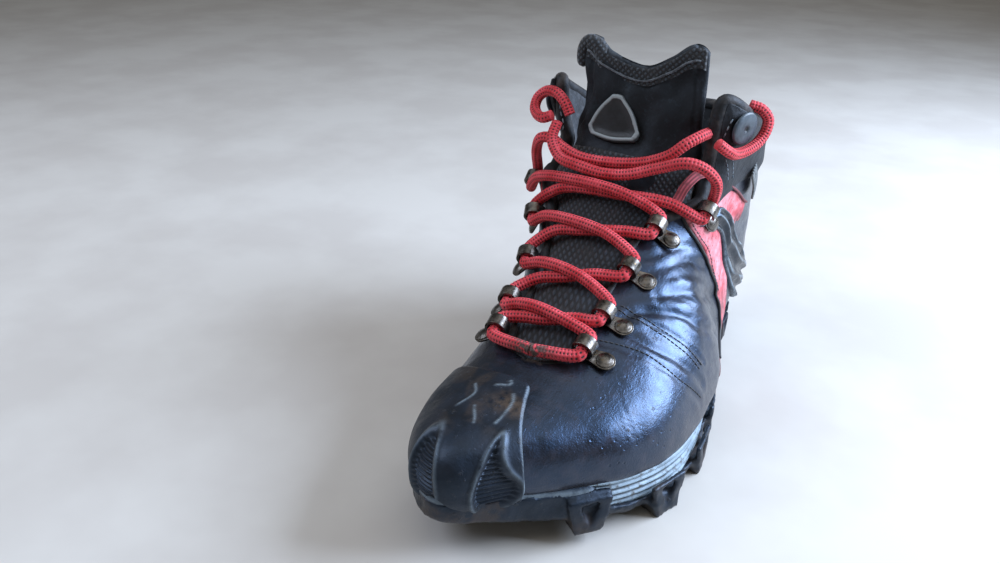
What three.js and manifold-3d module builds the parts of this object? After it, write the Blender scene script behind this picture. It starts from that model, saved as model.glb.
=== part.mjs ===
// A muddy mid-cut walking boot for the left foot, standing empty with its laces loose.
// Millimetres. +Z up, toe towards -Y, outer (lateral) side towards +X, lugs standing on z = 0.
// Places along the boot are given as a distance forward of the back of the heel.
import * as THREE from "three";
import { mergeVertices } from "three/addons/utils/BufferGeometryUtils.js";
import Module from "manifold-3d";

const wasm = await Module();
wasm.setup();

// Driving dimensions
const bootLength = 300;
const ballWidth = 112;
const heelWidth = 74;
const instepHeight = 97;
const collarHeight = 140; // at the back of the heel
const flapHeight = 168; // at the front corners of the collar
const tongueHeight = 186;
const toeSpring = 18;
const leatherWall = 2.8;
const collarWall = 6; // padded
const gap = 0.35; // between pieces that meet
const laceRadius = 3.1;

const heelBack = bootLength / 2;

// ---------------------------------------------------------------- solids from meshes

function solidOf(geometry) {
  const bare = geometry.clone();
  for (const name of Object.keys(bare.attributes)) {
    if (name !== "position") bare.deleteAttribute(name);
  }
  bare.clearGroups();
  const merged = mergeVertices(bare, 1e-4);
  return new wasm.Manifold(
    new wasm.Mesh({
      numProp: 3,
      vertProperties: new Float32Array(merged.attributes.position.array),
      triVerts: new Uint32Array(merged.index.array),
    }),
  );
}

function geometryOf(solid) {
  const mesh = solid.getMesh();
  const geometry = new THREE.BufferGeometry();
  geometry.setAttribute("position", new THREE.BufferAttribute(mesh.vertProperties, 3));
  geometry.setIndex(new THREE.BufferAttribute(mesh.triVerts, 1));
  geometry.computeVertexNormals();
  return geometry;
}

// A closed body through rings of equal point counts, each end closed by a fan.
function loft(rings) {
  const count = rings[0].length;
  const points = rings.flat();
  const first = new THREE.Vector3();
  const last = new THREE.Vector3();
  for (const p of rings[0]) first.addScaledVector(p, 1 / count);
  for (const p of rings.at(-1)) last.addScaledVector(p, 1 / count);
  points.push(first, last);
  const faces = [];
  for (let r = 0; r + 1 < rings.length; r++) {
    for (let i = 0; i < count; i++) {
      const a = r * count + i;
      const b = r * count + ((i + 1) % count);
      faces.push(a, b, b + count, a, b + count, a + count);
    }
  }
  const end = (rings.length - 1) * count;
  for (let i = 0; i < count; i++) {
    const j = (i + 1) % count;
    faces.push(points.length - 2, j, i, points.length - 1, end + i, end + j);
  }
  const geometry = new THREE.BufferGeometry().setFromPoints(points);
  geometry.setIndex(faces);
  return outward(geometry);
}

// Turns the faces of a closed geometry outwards.
function outward(geometry) {
  const p = geometry.attributes.position;
  const index = geometry.index.array;
  const [a, b, c] = [new THREE.Vector3(), new THREE.Vector3(), new THREE.Vector3()];
  let volume = 0;
  for (let i = 0; i < index.length; i += 3) {
    a.fromBufferAttribute(p, index[i]);
    b.fromBufferAttribute(p, index[i + 1]);
    c.fromBufferAttribute(p, index[i + 2]);
    volume += a.dot(b.cross(c));
  }
  if (volume < 0) {
    for (let i = 0; i < index.length; i += 3) {
      [index[i + 1], index[i + 2]] = [index[i + 2], index[i + 1]];
    }
  }
  return geometry;
}

// A prism with a side-view outline of [forward, height] points, from xLow to xHigh.
function sidePrism(outline, xLow, xHigh) {
  const shape = new THREE.Shape(outline.map(([u, z]) => new THREE.Vector2(heelBack - u, z)));
  const geometry = new THREE.ExtrudeGeometry(shape, { depth: xHigh - xLow, bevelEnabled: false });
  geometry.rotateZ(Math.PI / 2).rotateY(Math.PI / 2);
  geometry.translate(xLow, 0, 0);
  return solidOf(geometry);
}

// A prism with a plan outline of [x, forward] points, from zLow to zHigh.
function planPrism(outline, zLow, zHigh) {
  const shape = new THREE.Shape(outline.map(([x, u]) => new THREE.Vector2(x, heelBack - u)));
  const geometry = new THREE.ExtrudeGeometry(shape, { depth: zHigh - zLow, bevelEnabled: false });
  geometry.translate(0, 0, zLow);
  return solidOf(geometry);
}

// Smooth value of a table at t: rows start with their own t, and slopes are taken from the neighbours.
function smooth(rows, t) {
  let i = rows.findIndex((row) => row[0] > t) - 1;
  if (i === -2) i = rows.length - 2;
  i = Math.max(0, Math.min(rows.length - 2, i));
  const [low, high] = [rows[i], rows[i + 1]];
  const before = rows[Math.max(0, i - 1)];
  const after = rows[Math.min(rows.length - 1, i + 2)];
  const step = high[0] - low[0];
  const k = (t - low[0]) / step;
  return low.slice(1).map((value, j) => {
    const next = high[j + 1];
    const leave = ((next - before[j + 1]) / (high[0] - before[0])) * step;
    const arrive = ((after[j + 1] - value) / (after[0] - low[0])) * step;
    return (
      (2 * k ** 3 - 3 * k ** 2 + 1) * value +
      (k ** 3 - 2 * k ** 2 + k) * leave +
      (3 * k ** 2 - 2 * k ** 3) * next +
      (k ** 3 - k ** 2) * arrive
    );
  });
}

// ---------------------------------------------------------------- the last

// Each row is one section across the boot. It runs from a low or rear point to a top or front point,
// both in side view, so sections stand upright in the forefoot and lie level at the collar. Its numbers are
// station, rear [forward, height], front [forward, height], outer x, inner x, where it is widest (0 to 1),
// roundness of the sole half and of the top half, x of the front point, x of the rear point, and how far
// the outer and the inner side spread near the front, where the loosened lace flaps open.
const L = bootLength;
const B = ballWidth;
const I = instepHeight;
const H = heelWidth;
const C = collarHeight;
const lastRows = [
  [0.0, L, 0.27 * I, L, 0.66 * I, 0.05 * B, -0.41 * B, 0.45, 2.8, 2.2, -14, -14, 0, 0],
  [0.08, 0.937 * L, 0.25 * I, 0.937 * L, 0.64 * I, 0.17 * B, -0.44 * B, 0.42, 3.0, 2.2, -13, -12, 0, 0],
  [0.16, 0.867 * L, 0.23 * I, 0.867 * L, 0.64 * I, 0.32 * B, -0.44 * B, 0.38, 3.3, 2.2, -11, -8, 0, 0],
  [0.24, 0.787 * L, 0.21 * I, 0.787 * L, 0.67 * I, 0.46 * B, -0.43 * B, 0.33, 3.6, 2.2, -8, -2, 0, 0],
  [0.32, 0.693 * L, 0.19 * I, 0.693 * L, 0.77 * I, 0.55 * B, -0.42 * B, 0.3, 3.8, 2.2, -6, 3, 0, 0],
  [0.4, 0.587 * L, 0.19 * I, 0.587 * L, 0.9 * I, 0.56 * B, -0.39 * B, 0.29, 3.8, 2.2, -8, 6, 0, 4],
  [0.48, 0.467 * L, 0.2 * I, 0.507 * L, 1.03 * I, 0.54 * B, -0.36 * B, 0.3, 3.8, 2.5, -11, 7, 0, 10],
  [0.56, 0.333 * L, 0.22 * I, 0.453 * L, 1.15 * I, 0.66 * H, -0.47 * H, 0.33, 3.6, 2.8, -14, 5, 0, 20],
  [0.64, 0.2 * L, 0.25 * I, 0.413 * L, 1.28 * I, 0.6 * H, -0.46 * H, 0.38, 3.4, 3.2, -14, 4, 4, 30],
  [0.7, 0.1 * L, 0.27 * I, 0.393 * L, 1.38 * I, 0.575 * H, -0.48 * H, 0.43, 3.1, 3.3, -13, 4, 5, 28],
  [0.745, 0.03 * L, 0.3 * I, 0.38 * L, 1.45 * I, 0.565 * H, -0.52 * H, 0.47, 2.8, 3.3, -12, 4, 4, 24],
  [0.785, 0.004 * L, 0.46 * I, 0.373 * L, 1.52 * I, 0.57 * H, -0.57 * H, 0.52, 2.5, 3.3, -11, 4, 3, 19],
  [0.86, 0.004 * L, 0.6 * C, 0.37 * L, 1.1 * C, 0.585 * H, -0.68 * H, 0.6, 2.3, 3.2, -11, 4, 2, 16],
  [0.93, 0.02 * L, 0.83 * C, 0.367 * L, 1.15 * C, 0.61 * H, -0.79 * H, 0.66, 2.3, 3.0, -11, 3, 0, 9],
  [1.0, 0.013 * L, 1.13 * C, 0.363 * L, 1.25 * C, 0.64 * H, -0.87 * H, 0.68, 2.3, 2.9, -11, 2, 0, 4],
  [1.1, 0.007 * L, 1.36 * C, 0.36 * L, 1.43 * C, 0.66 * H, -0.88 * H, 0.68, 2.3, 2.8, -11, 2, 0, 2],
];
const toeRoundStart = 0.717 * L;
const toeNose = { x: -14, z: 40 };

// A point on the boot's outer skin. turn is 0 on the instep line, a quarter turn (positive) at the outer
// side, half a turn under the sole. out moves it off the skin.
function skin(station, turn, out = 0) {
  const row = smooth(lastRows, station);
  let [rearU, rearZ, frontU, frontZ, outer, inner, widest, lowRound, topRound, frontX, rearX] = row;
  const [outerSpread, innerSpread] = row.slice(11);
  const toe = Math.max(0, Math.min(1, ((rearU + frontU) / 2 - toeRoundStart) / (L - toeRoundStart)));
  const narrow = (1 - toe ** 2.5) ** (1 / 2.2);
  outer = toeNose.x + (outer - toeNose.x) * narrow;
  inner = toeNose.x + (inner - toeNose.x) * narrow;
  frontX = toeNose.x + (frontX - toeNose.x) * narrow;
  rearX = toeNose.x + (rearX - toeNose.x) * narrow;
  frontZ = toeNose.z + (frontZ - toeNose.z) * (1 - toe ** 3.2) ** (1 / 2.2);
  rearZ = toeNose.z + (rearZ - toeNose.z) * (1 - toe ** 6) ** (1 / 3);
  const rise = Math.max(1e-6, Math.hypot(frontU - rearU, frontZ - rearZ));
  const ahead = (frontU - rearU) / rise;
  const up = (frontZ - rearZ) / rise;
  const cos = Math.cos(turn);
  const sin = Math.sin(turn);
  const round = cos >= 0 ? topRound : lowRound;
  const reach = Math.max(0.5, (cos >= 0 ? 1 - widest : widest) * rise + out);
  const along = Math.sign(cos) * reach * Math.abs(cos) ** (2 / round) + widest * rise;
  const share = Math.max(0, Math.min(1, along / rise));
  const middle = rearX + (frontX - rearX) * widest;
  const spread = (sin >= 0 ? outerSpread : innerSpread) * THREE.MathUtils.smoothstep(share, widest, 1);
  const half = Math.max(0.5, (sin >= 0 ? outer - middle : middle - inner) + spread + out);
  return new THREE.Vector3(
    rearX + (frontX - rearX) * share + Math.sign(sin) * half * Math.abs(sin) ** (2 / round),
    heelBack - (rearU + ahead * along + out * toe ** 2),
    rearZ + up * along,
  );
}

// Stations from the toe to the collar, close together round the toe.
function stations(count, last = 1.05) {
  const toeCount = Math.round(count * 0.28);
  const list = [];
  for (let i = 0; i < toeCount; i++) {
    list.push(0.002 + 0.24 * (1 - Math.cos((i / toeCount) * (Math.PI / 2))));
  }
  const rest = count - toeCount;
  for (let i = 0; i <= rest; i++) list.push(0.242 + ((last - 0.242) * i) / rest);
  return list;
}

function form(out, along, around) {
  const rings = stations(along).map((station) => {
    const offset = typeof out === "function" ? out(station) : out;
    return Array.from({ length: around }, (_, i) => skin(station, (i / around) * 2 * Math.PI, offset));
  });
  return solidOf(loft(rings));
}

// The turn at which the skin has a given x, on the front face of a section.
function turnAt(station, x) {
  const side = x < skin(station, 0).x ? -1 : 1;
  let [low, high] = [0, 0.9];
  for (let i = 0; i < 24; i++) {
    const middle = (low + high) / 2;
    if ((x - skin(station, side * middle).x) * side > 0) low = middle;
    else high = middle;
  }
  return side * low;
}

// ---------------------------------------------------------------- the sole

// forward (share of the length), outer x, inner x
const soleRows = [
  [0.0, 0.46 * H, -0.38 * H],
  [0.1, 0.51 * H, -0.43 * H],
  [0.2, 0.54 * H, -0.43 * H],
  [0.3, 0.6 * H, -0.4 * H],
  [0.4, 0.475 * B, -0.27 * B],
  [0.5, 0.54 * B, -0.31 * B],
  [0.6, 0.58 * B, -0.38 * B],
  [0.693, 0.57 * B, -0.425 * B],
  [0.787, 0.475 * B, -0.445 * B],
  [0.867, 0.34 * B, -0.445 * B],
  [0.937, 0.18 * B, -0.435 * B],
  [1.0, 0.05 * B, -0.39 * B],
];
// forward (share of the length), underside of the outsole between lugs, its top, top of the midsole
const lugDepth = 5;
const soleHeights = [
  [0.0, lugDepth + 2, 12, 36],
  [0.05, lugDepth, 10, 35.5],
  [0.22, lugDepth, 10, 34],
  [0.3, lugDepth + 3, 12, 32],
  [0.4, lugDepth + 5, 14, 29],
  [0.5, lugDepth, 10, 27],
  [0.6, lugDepth, 10, 25.5],
  [0.72, lugDepth, 10, 25],
  [0.8, lugDepth + 0.16 * toeSpring, 13, 26],
  [0.88, lugDepth + 0.42 * toeSpring, 17, 28],
  [0.95, lugDepth + 0.72 * toeSpring, 22, 31],
  [1.0, lugDepth + 0.95 * toeSpring, 26, 33],
];
const heelRound = 0.13 * L;

function soleEdge(u, inset) {
  let [outer, inner] = smooth(soleRows, u / L);
  const toe = THREE.MathUtils.clamp((u - toeRoundStart) / (L + 2 - toeRoundStart), 0, 1);
  const narrow = (1 - toe ** 2.5) ** (1 / 2.2);
  outer = toeNose.x + (outer - toeNose.x) * narrow;
  inner = toeNose.x + (inner - toeNose.x) * narrow;
  const heel = THREE.MathUtils.clamp((heelRound - u) / heelRound, 0, 1);
  const heelMiddle = 4;
  const round = (1 - heel ** 2.3) ** (1 / 2.2);
  outer = heelMiddle + (outer - heelMiddle) * round;
  inner = heelMiddle + (inner - heelMiddle) * round;
  const middle = (outer + inner) / 2;
  return [Math.max(middle + 0.4, outer - inset), Math.min(middle - 0.4, inner + inset)];
}
const soleLow = (u) => smooth(soleHeights, THREE.MathUtils.clamp(u / L, 0, 1))[0];
const soleTop = (u) => smooth(soleHeights, THREE.MathUtils.clamp(u / L, 0, 1))[1];
const featherLine = (u) => smooth(soleHeights, THREE.MathUtils.clamp(u / L, 0, 1))[2];

// A layer of the sole between two heights, its edge drawn in by an inset at the bottom and at the top.
function soleLayer(low, high, insetLow, insetHigh, count = 17) {
  const rings = [];
  for (let i = 0; i <= count; i++) {
    const t = THREE.MathUtils.lerp(0.02, 0.98, i / count);
    const ring = [];
    for (const [height, inset, order] of [[low, insetLow, 1], [high, insetHigh, -1]]) {
      const u = inset + (L + 2 - 2 * inset) * 0.5 * (1 - Math.cos(Math.PI * t));
      const [outer, inner] = soleEdge(u, inset);
      const across = [0, 0.06, 0.5, 0.94, 1];
      if (order < 0) across.reverse();
      for (const k of across) {
        ring.push(new THREE.Vector3(inner + (outer - inner) * k, heelBack - u, height(u)));
      }
    }
    rings.push(ring);
  }
  return solidOf(loft(rings));
}

// One side lug: a flared V with a hollow in its face, standing at the edge and reaching under the sole.
function sideLug(u, side, width, top, foot) {
  const edgeAt = (forward) => soleEdge(forward, 0)[side > 0 ? 0 : 1];
  const slope = (edgeAt(u + 3) - edgeAt(u - 3)) / 6;
  const out = new THREE.Vector3(side, side * slope, 0).normalize();
  const up = new THREE.Vector3(0, 0, 1);
  const along = new THREE.Vector3().crossVectors(up, out);
  const place = new THREE.Matrix4().makeBasis(along, up, out).setPosition(edgeAt(u), heelBack - u, 0);
  const taper = (share, height) => new THREE.Vector2(share * width, height);
  const face = new THREE.Shape([taper(-0.5, top), taper(-0.3, foot), taper(0.3, foot), taper(0.5, top)]);
  face.holes.push(new THREE.Path([taper(-0.24, top - 2.5), taper(0.24, top - 2.5), taper(0, foot + 3)]));
  const front = new THREE.ExtrudeGeometry(face, { depth: 2.6, bevelEnabled: false }).translate(0, 0, 0.4);
  const backTop = Math.min(top, soleTop(u) - 1.5);
  const block = new THREE.Shape([
    taper(-0.42, backTop),
    taper(-0.3, foot),
    taper(0.3, foot),
    taper(0.42, backTop),
  ]);
  const back = new THREE.ExtrudeGeometry(block, { depth: 16, bevelEnabled: false }).translate(0, 0, -15);
  return solidOf(front.applyMatrix4(place)).add(solidOf(back.applyMatrix4(place)));
}

// A centre lug under the sole: a tapered block turned in plan.
function centreLug(x, u, width, length, turn) {
  const foot = Math.max(0, soleLow(u) - lugDepth);
  const block = new THREE.CylinderGeometry(0.5, 0.62, 1, 4, 1).rotateY(Math.PI / 4).rotateX(-Math.PI / 2);
  const height = soleLow(u) + 1 - foot;
  block.scale(width * 1.41, length * 1.41, height);
  block.rotateZ(turn).translate(x, heelBack - u, foot + height / 2);
  return solidOf(block);
}

const join = (solids) => solids.reduce((sum, solid) => sum.add(solid));

const heelLugs = [15, 43, 71];
const foreLugs = [142, 179, 219];
const toeLugs = [256];
function makeOutsole() {
  const base = soleLayer(soleLow, soleTop, 1.5, 0);
  const wall = soleLayer((u) => soleTop(u) - 2, (u) => featherLine(u) - 0.5, 0, 0.4);
  const core = soleLayer((u) => soleTop(u) + gap - 0.1, (u) => featherLine(u) + 6, 3 - gap, 3 - gap);
  const toeWrap = wall.subtract(core).intersect(
    planPrism([[-90, 330], [90, 330], [90, 256], [34, 244], [-34, 236], [-90, 236]], 0, 60),
  );
  const lugs = [];
  for (const u of heelLugs) {
    lugs.push(sideLug(u, 1, 17, 16, 0), sideLug(u, -1, 17, 16, 0), centreLug(4, u + 8, 16, 11, 0));
  }
  for (const u of foreLugs) {
    lugs.push(sideLug(u, 1, 24, 19, 0), sideLug(u, -1, 22, 17, 0));
    lugs.push(centreLug(8 - (u - 146) * 0.08, u + 4, 24, 13, 0.5));
    lugs.push(centreLug(-14 + (u - 146) * 0.05, u - 6, 15, 12, -0.5));
  }
  for (const u of toeLugs) {
    const foot = soleLow(u) - lugDepth;
    lugs.push(sideLug(u, 1, 23, featherLine(u) - 2, foot), sideLug(u, -1, 20, foot + 15, foot));
    lugs.push(centreLug(-8, u, 22, 12, 0.2), centreLug(-14, u + 22, 16, 9, 0));
  }
  return join([base, toeWrap, ...lugs]).subtract(core);
}

function makeMidsole() {
  return soleLayer((u) => soleTop(u) + gap, featherLine, 3, 3.4);
}

// ---------------------------------------------------------------- upper, insole, tongue

const wallAt = (station) =>
  THREE.MathUtils.lerp(leatherWall, collarWall, THREE.MathUtils.smoothstep(station, 0.6, 0.8));

// Everything below a height that changes along the boot.
function belowLine(height, drop = 60) {
  const top = [];
  for (let i = 0; i <= 20; i++) {
    const u = -20 + (L + 50) * (i / 20);
    top.push([u, height(THREE.MathUtils.clamp(u, 0, L))]);
  }
  return sidePrism([...top, [L + 30, -drop], [-20, -drop]], -100, 100);
}

const collarLine = [
  [-20, collarHeight + 4],
  [8, collarHeight],
  [38, collarHeight + 1],
  [66, collarHeight + 9],
  [86, collarHeight + 20],
  [98, flapHeight - 1],
  [107, flapHeight],
  [114, flapHeight - 4],
  [130, flapHeight - 16],
];

// Edges of the open throat: station, outer x, inner x
const throatStart = 0.262;
const throatRows = [
  [0.26, 8, -22],
  [0.297, 10, -25],
  [0.352, 10, -29],
  [0.432, 10, -34],
  [0.54, 12, -44],
  [0.65, 30, -57],
  [0.75, 36, -60],
  [0.91, 39, -62],
  [1.1, 41, -63],
];
const throatEdge = (station) => smooth(throatRows, station);

// A patch of a shell: from station to station and between two edges in x, between two offsets.
function frontPatch(from, to, edges, outLow, outHigh, along = 16, across = 8) {
  const rings = [];
  for (let i = 0; i <= along; i++) {
    const station = from + (to - from) * (i / along);
    const [outer, inner] = edges(station).map((x) => turnAt(station, x));
    const low = typeof outLow === "function" ? outLow(station) : outLow;
    const high = typeof outHigh === "function" ? outHigh(station) : outHigh;
    const turns = Array.from({ length: across + 1 }, (_, k) => inner + (outer - inner) * (k / across));
    rings.push([
      ...turns.map((turn) => skin(station, turn, low)),
      ...turns.toReversed().map((turn) => skin(station, turn, high)),
    ]);
  }
  return solidOf(loft(rings));
}

// Facets along and around the outer and the inner face of the shell
const outerFacets = [26, 28];
const innerFacets = [20, 24];

function makeUpper() {
  const shell = form(0, ...outerFacets).subtract(form((station) => -wallAt(station), ...innerFacets));
  const middle = -6;
  const rounded = (station) => {
    const open = Math.min(1, Math.max(0.02, (station - throatStart) / 0.03));
    const width = Math.sqrt(1 - (1 - open) ** 2);
    return throatEdge(station).map((x) => middle + (x - middle) * width);
  };
  const throat = frontPatch(throatStart, 1.08, rounded, -16, 14, 22, 4);
  const collarPeak = collarLine.at(-1);
  const aboveCollar = sidePrism([...collarLine, [collarPeak[0], 260], [-20, 260]], -100, 100);
  return shell
    .subtract(throat)
    .subtract(aboveCollar)
    .subtract(belowLine((u) => featherLine(u) + gap));
}

const insoleThickness = 4;
function makeInsole() {
  const bed = (rise) => (u) => featherLine(u) + gap + rise;
  return form((station) => -wallAt(station) - gap, ...innerFacets)
    .intersect(belowLine(bed(insoleThickness)).subtract(belowLine(bed(0), 70)));
}

// Edges of the tongue: station, outer x, inner x
const tongueRows = [
  [0.235, 12, -22],
  [0.297, 17, -31],
  [0.352, 17, -35],
  [0.432, 18, -40],
  [0.54, 22, -50],
  [0.65, 34, -58],
  [0.75, 34, -57],
  [0.91, 31, -54],
  [1.1, 29, -52],
];
const tongueTop = [
  [-70, tongueHeight - 20],
  [-54, tongueHeight - 4],
  [-49, tongueHeight + 5],
  [-42, tongueHeight + 6],
  [-33, tongueHeight],
  [-10, tongueHeight - 6],
  [5, tongueHeight],
  [15, tongueHeight + 7],
  [22, tongueHeight + 7],
  [28, tongueHeight],
  [36, tongueHeight - 16],
];
function makeTongue() {
  const face = (station) => -wallAt(station) - 3 * gap;
  const back = (station) => face(station) - THREE.MathUtils.mapLinear(station, 0.24, 1.1, 3, 7);
  const pad = frontPatch(0.24, 1.12, (station) => smooth(tongueRows, station), back, face, 20, 8);
  const shape = new THREE.Shape(
    [[-70, 20], ...tongueTop, [36, 20]].map(([x, z]) => new THREE.Vector2(x, z)),
  );
  const outline = new THREE.ExtrudeGeometry(shape, { depth: 200, bevelEnabled: false });
  outline.rotateX(Math.PI / 2).translate(0, 100, 0);
  return pad.intersect(solidOf(outline));
}

// ---------------------------------------------------------------- overlays on the upper

const bumper = 2.4;
function makeToeCap() {
  const shell = form(bumper, ...outerFacets).subtract(form(gap, ...outerFacets));
  const region = planPrism(
    [[-80, 232], [-44, 236], [-24, 241], [-2, 242], [3, 256], [8, 269], [17, 280], [30, 294], [0, 330], [-80, 330]],
    0,
    90,
  );
  return shell.intersect(region).subtract(belowLine((u) => featherLine(u) + gap));
}

const cageOutline = [
  [104, 99],
  [113, 94],
  [107, 84],
  [94, 66],
  [76, 47],
  [56, 33],
  [34, 30],
  [26, 37],
  [46, 48],
  [66, 64],
  [84, 84],
  [95, 99],
];
function makeCage(side) {
  const shell = form(3, ...outerFacets).subtract(form(gap, ...outerFacets));
  const band = side > 0 ? sidePrism(cageOutline, 20, 100) : sidePrism(cageOutline, -100, -20);
  const pieces = shell.intersect(band).subtract(belowLine((u) => featherLine(u) + gap)).decompose();
  return pieces.reduce((most, piece) => (piece.volume() > most.volume() ? piece : most));
}

// ---------------------------------------------------------------- lace hardware

const hardwareRows = [
  { station: 0.297, outer: 14, inner: -29 },
  { station: 0.352, outer: 14, inner: -33 },
  { station: 0.432, outer: 14, inner: -38 },
  { station: 0.54, outer: 16, inner: -48 },
  { station: 0.65, outer: 35, inner: -61 },
];
const studRow = { station: 0.93, turn: 1.3 };

// A frame on the skin: X away from the throat, Y up along the throat, Z off the skin.
function hardwareFrame(row, side, out) {
  const { station } = row;
  const turn = row.turn ? side * row.turn : turnAt(station, side > 0 ? row.outer : row.inner);
  const origin = skin(station, turn, out);
  const away = skin(station, turn + side * 0.05, out).sub(skin(station, turn - side * 0.05, out)).normalize();
  const up = skin(station + 0.01, turn, out).sub(skin(station - 0.01, turn, out));
  up.addScaledVector(away, -up.dot(away)).normalize();
  const off = new THREE.Vector3().crossVectors(away, up).multiplyScalar(side > 0 ? 1 : -1).normalize();
  return { origin, away, up, off };
}

const loopInner = 3.9;
const loopMetal = 1.5;
const loopBand = 6.5;
const loopCentre = loopInner + 1.3;
const plateThick = 1.2;
const rivetPlace = 10.5;
const rivetRadius = 3.7;
const eyeletBase = gap + 0.25;

// The band's outline across the throat edge: off the base, round the lace and, unless it is a hook, back to it.
function bandOutline(hooked) {
  const [start, end] = [1.22 * Math.PI, hooked ? 0.12 * Math.PI : -0.22 * Math.PI];
  const arc = (radius) =>
    Array.from({ length: 8 }, (_, i) => {
      const a = start + ((end - start) * i) / 7;
      return new THREE.Vector2(radius * Math.cos(a), loopCentre + radius * Math.sin(a));
    });
  return new THREE.Shape([
    new THREE.Vector2(4, 0),
    new THREE.Vector2(-3.6, 0),
    ...arc(loopInner + loopMetal),
    ...arc(loopInner).toReversed(),
    new THREE.Vector2(-2.2, plateThick),
    new THREE.Vector2(4, plateThick),
  ]);
}

function makeEyelet(row, side, hooked) {
  const { origin, away, up, off } = hardwareFrame(row, side, eyeletBase);
  const loop = new THREE.ExtrudeGeometry(bandOutline(hooked), { depth: loopBand, bevelEnabled: false });
  loop.translate(0, 0, -loopBand / 2);
  const plate = new THREE.Shape([new THREE.Vector2(2, -loopBand / 2), new THREE.Vector2(2, loopBand / 2)]);
  for (let i = 0; i < 6; i++) {
    const a = Math.PI * (0.6 - i * 0.24);
    plate.lineTo(rivetPlace + 5 * Math.cos(a), 5 * Math.sin(a));
  }
  const base = new THREE.ExtrudeGeometry(plate, { depth: plateThick, bevelEnabled: false });
  base.rotateX(-Math.PI / 2);
  const rivet = new THREE.CylinderGeometry(0.7 * rivetRadius, rivetRadius, 1.5, 6).translate(rivetPlace, 1.8, 0);
  const place = new THREE.Matrix4().makeBasis(away, off, new THREE.Vector3().crossVectors(away, off));
  place.setPosition(origin);
  return join([loop, base, rivet].map((piece) => solidOf(piece.applyMatrix4(place))));
}

// ---------------------------------------------------------------- laces

function tube(points, radius, steps, sides = 6) {
  const curve = new THREE.CatmullRomCurve3(points, false, "centripetal");
  const section = new THREE.Shape();
  for (let i = 0; i < sides; i++) {
    const a = (i / sides) * 2 * Math.PI;
    if (i) section.lineTo(radius * Math.cos(a), radius * Math.sin(a));
    else section.moveTo(radius, 0);
  }
  return solidOf(new THREE.ExtrudeGeometry(section, { steps, extrudePath: curve, bevelEnabled: false }));
}

// The frame of a metal loop, with its origin on the axis the lace runs along.
function loopFrame(row, side) {
  const frame = hardwareFrame(row, side, eyeletBase);
  frame.origin.addScaledVector(frame.off, loopCentre);
  return frame;
}
const onAxis = (frame, ...steps) => steps.map((step) => frame.origin.clone().addScaledVector(frame.up, step));

// A strand leaves one loop upwards and enters the next one across the throat from below.
function strand(fromRow, fromSide, toRow, height) {
  const from = loopFrame(fromRow, fromSide);
  const to = loopFrame(toRow, -fromSide);
  const start = turnAt(fromRow.station, fromSide > 0 ? fromRow.outer : fromRow.inner);
  const end = turnAt(toRow.station, fromSide > 0 ? toRow.inner : toRow.outer);
  const across = [0.25, 0.5, 0.75].map((k) => {
    const station = THREE.MathUtils.lerp(fromRow.station, toRow.station, 0.25 + 0.5 * k);
    const out = loopCentre + (height - loopCentre) * Math.sin(Math.PI * k) ** 2;
    return skin(station, THREE.MathUtils.lerp(start, end, k), out);
  });
  return tube([...onAxis(from, 0.2, 3, 6), ...across, ...onAxis(to, -6, -3, -0.2)], laceRadius, 13);
}

function makeLaceBar() {
  const row = hardwareRows[0];
  const middle = skin(row.station - 0.035, 0, laceRadius + 2);
  const [left, right] = [-1, 1].map((side) => onAxis(loopFrame(row, side), -0.2, -3, -6));
  return tube([...left, middle, ...right.toReversed()], laceRadius, 12);
}

function makeCrossing(index) {
  const [low, high] = [hardwareRows[index], hardwareRows[index + 1]];
  return strand(low, -1, high, 1.2).add(strand(low, 1, high, 1.2 + 1.8 * laceRadius));
}

// The two slack strands above the ankle hooks lie against the tongue and on each other.
const slackFromOuter = [
  [40, 35, 128],
  [35, 31, 135],
  [26, 28, 138],
  [11, 28, 133],
  [-4, 24, 128],
  [-17, 21, 127],
  [-31, 20, 129],
  [-44, 23, 131],
  [-51, 27, 139],
  [-51, 33, 147],
];
const slackFromInner = [
  [-65, 37, 128],
  [-60, 32, 137],
  [-53, 31, 138],
  [-45, 28, 135],
  [-34, 26, 132],
  [-18, 28, 131],
  [0, 31, 133],
  [14, 32, 139],
  [22, 35, 146],
];
const route = (points) => points.map((p) => new THREE.Vector3(...p));
function makeSlackStrands() {
  const [fromOuter, fromInner] = [[1, slackFromOuter], [-1, slackFromInner]].map(([side, points]) => {
    const hook = loopFrame(hardwareRows[4], side);
    return tube([...onAxis(hook, 0.2, 3, 6), ...route(points)], laceRadius, 19);
  });
  return fromOuter.add(fromInner);
}

const studHead = 9.2;
const studHeight = 4;

// The outer lace end comes out at the front of its flap, passes under the stud and goes over the collar.
// The inner one loops round the front edge of its flap and back in against the tongue.
const loopRoutes = {
  lateral: [
    [37, 40, 147],
    [41, 44, 143],
    [43, 50, 140],
    [45, 57, 139],
    [48, 64, 140],
    [51, 70, 143],
    [53, 74, 148],
    [53, 76, 154],
    [49, 75, 159],
    [43, 73, 161],
  ],
  medial: [
    [-55, 34, 150],
    [-60, 34, 148],
    [-65, 37, 148],
    [-69, 41, 151],
    [-69, 45, 156],
    [-64, 46, 160],
    [-57, 44, 160],
    [-51, 42, 156],
    [-47, 41, 150],
  ],
};

// A leather-covered stud on a flap: a neck and a round head.
function makeStud(side) {
  const { origin, away, off } = hardwareFrame(studRow, side, gap);
  const neck = new THREE.CylinderGeometry(4, 4.6, 2, 8).translate(0, 1, 0);
  const head = new THREE.CylinderGeometry(studHead - 0.6, studHead, studHeight - 2, 14);
  head.translate(0, studHeight / 2 + 1, 0);
  const place = new THREE.Matrix4().makeBasis(away, off, new THREE.Vector3().crossVectors(away, off));
  place.setPosition(origin);
  return join([neck, head].map((piece) => solidOf(piece.applyMatrix4(place))));
}

// ---------------------------------------------------------------- the boot

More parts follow.
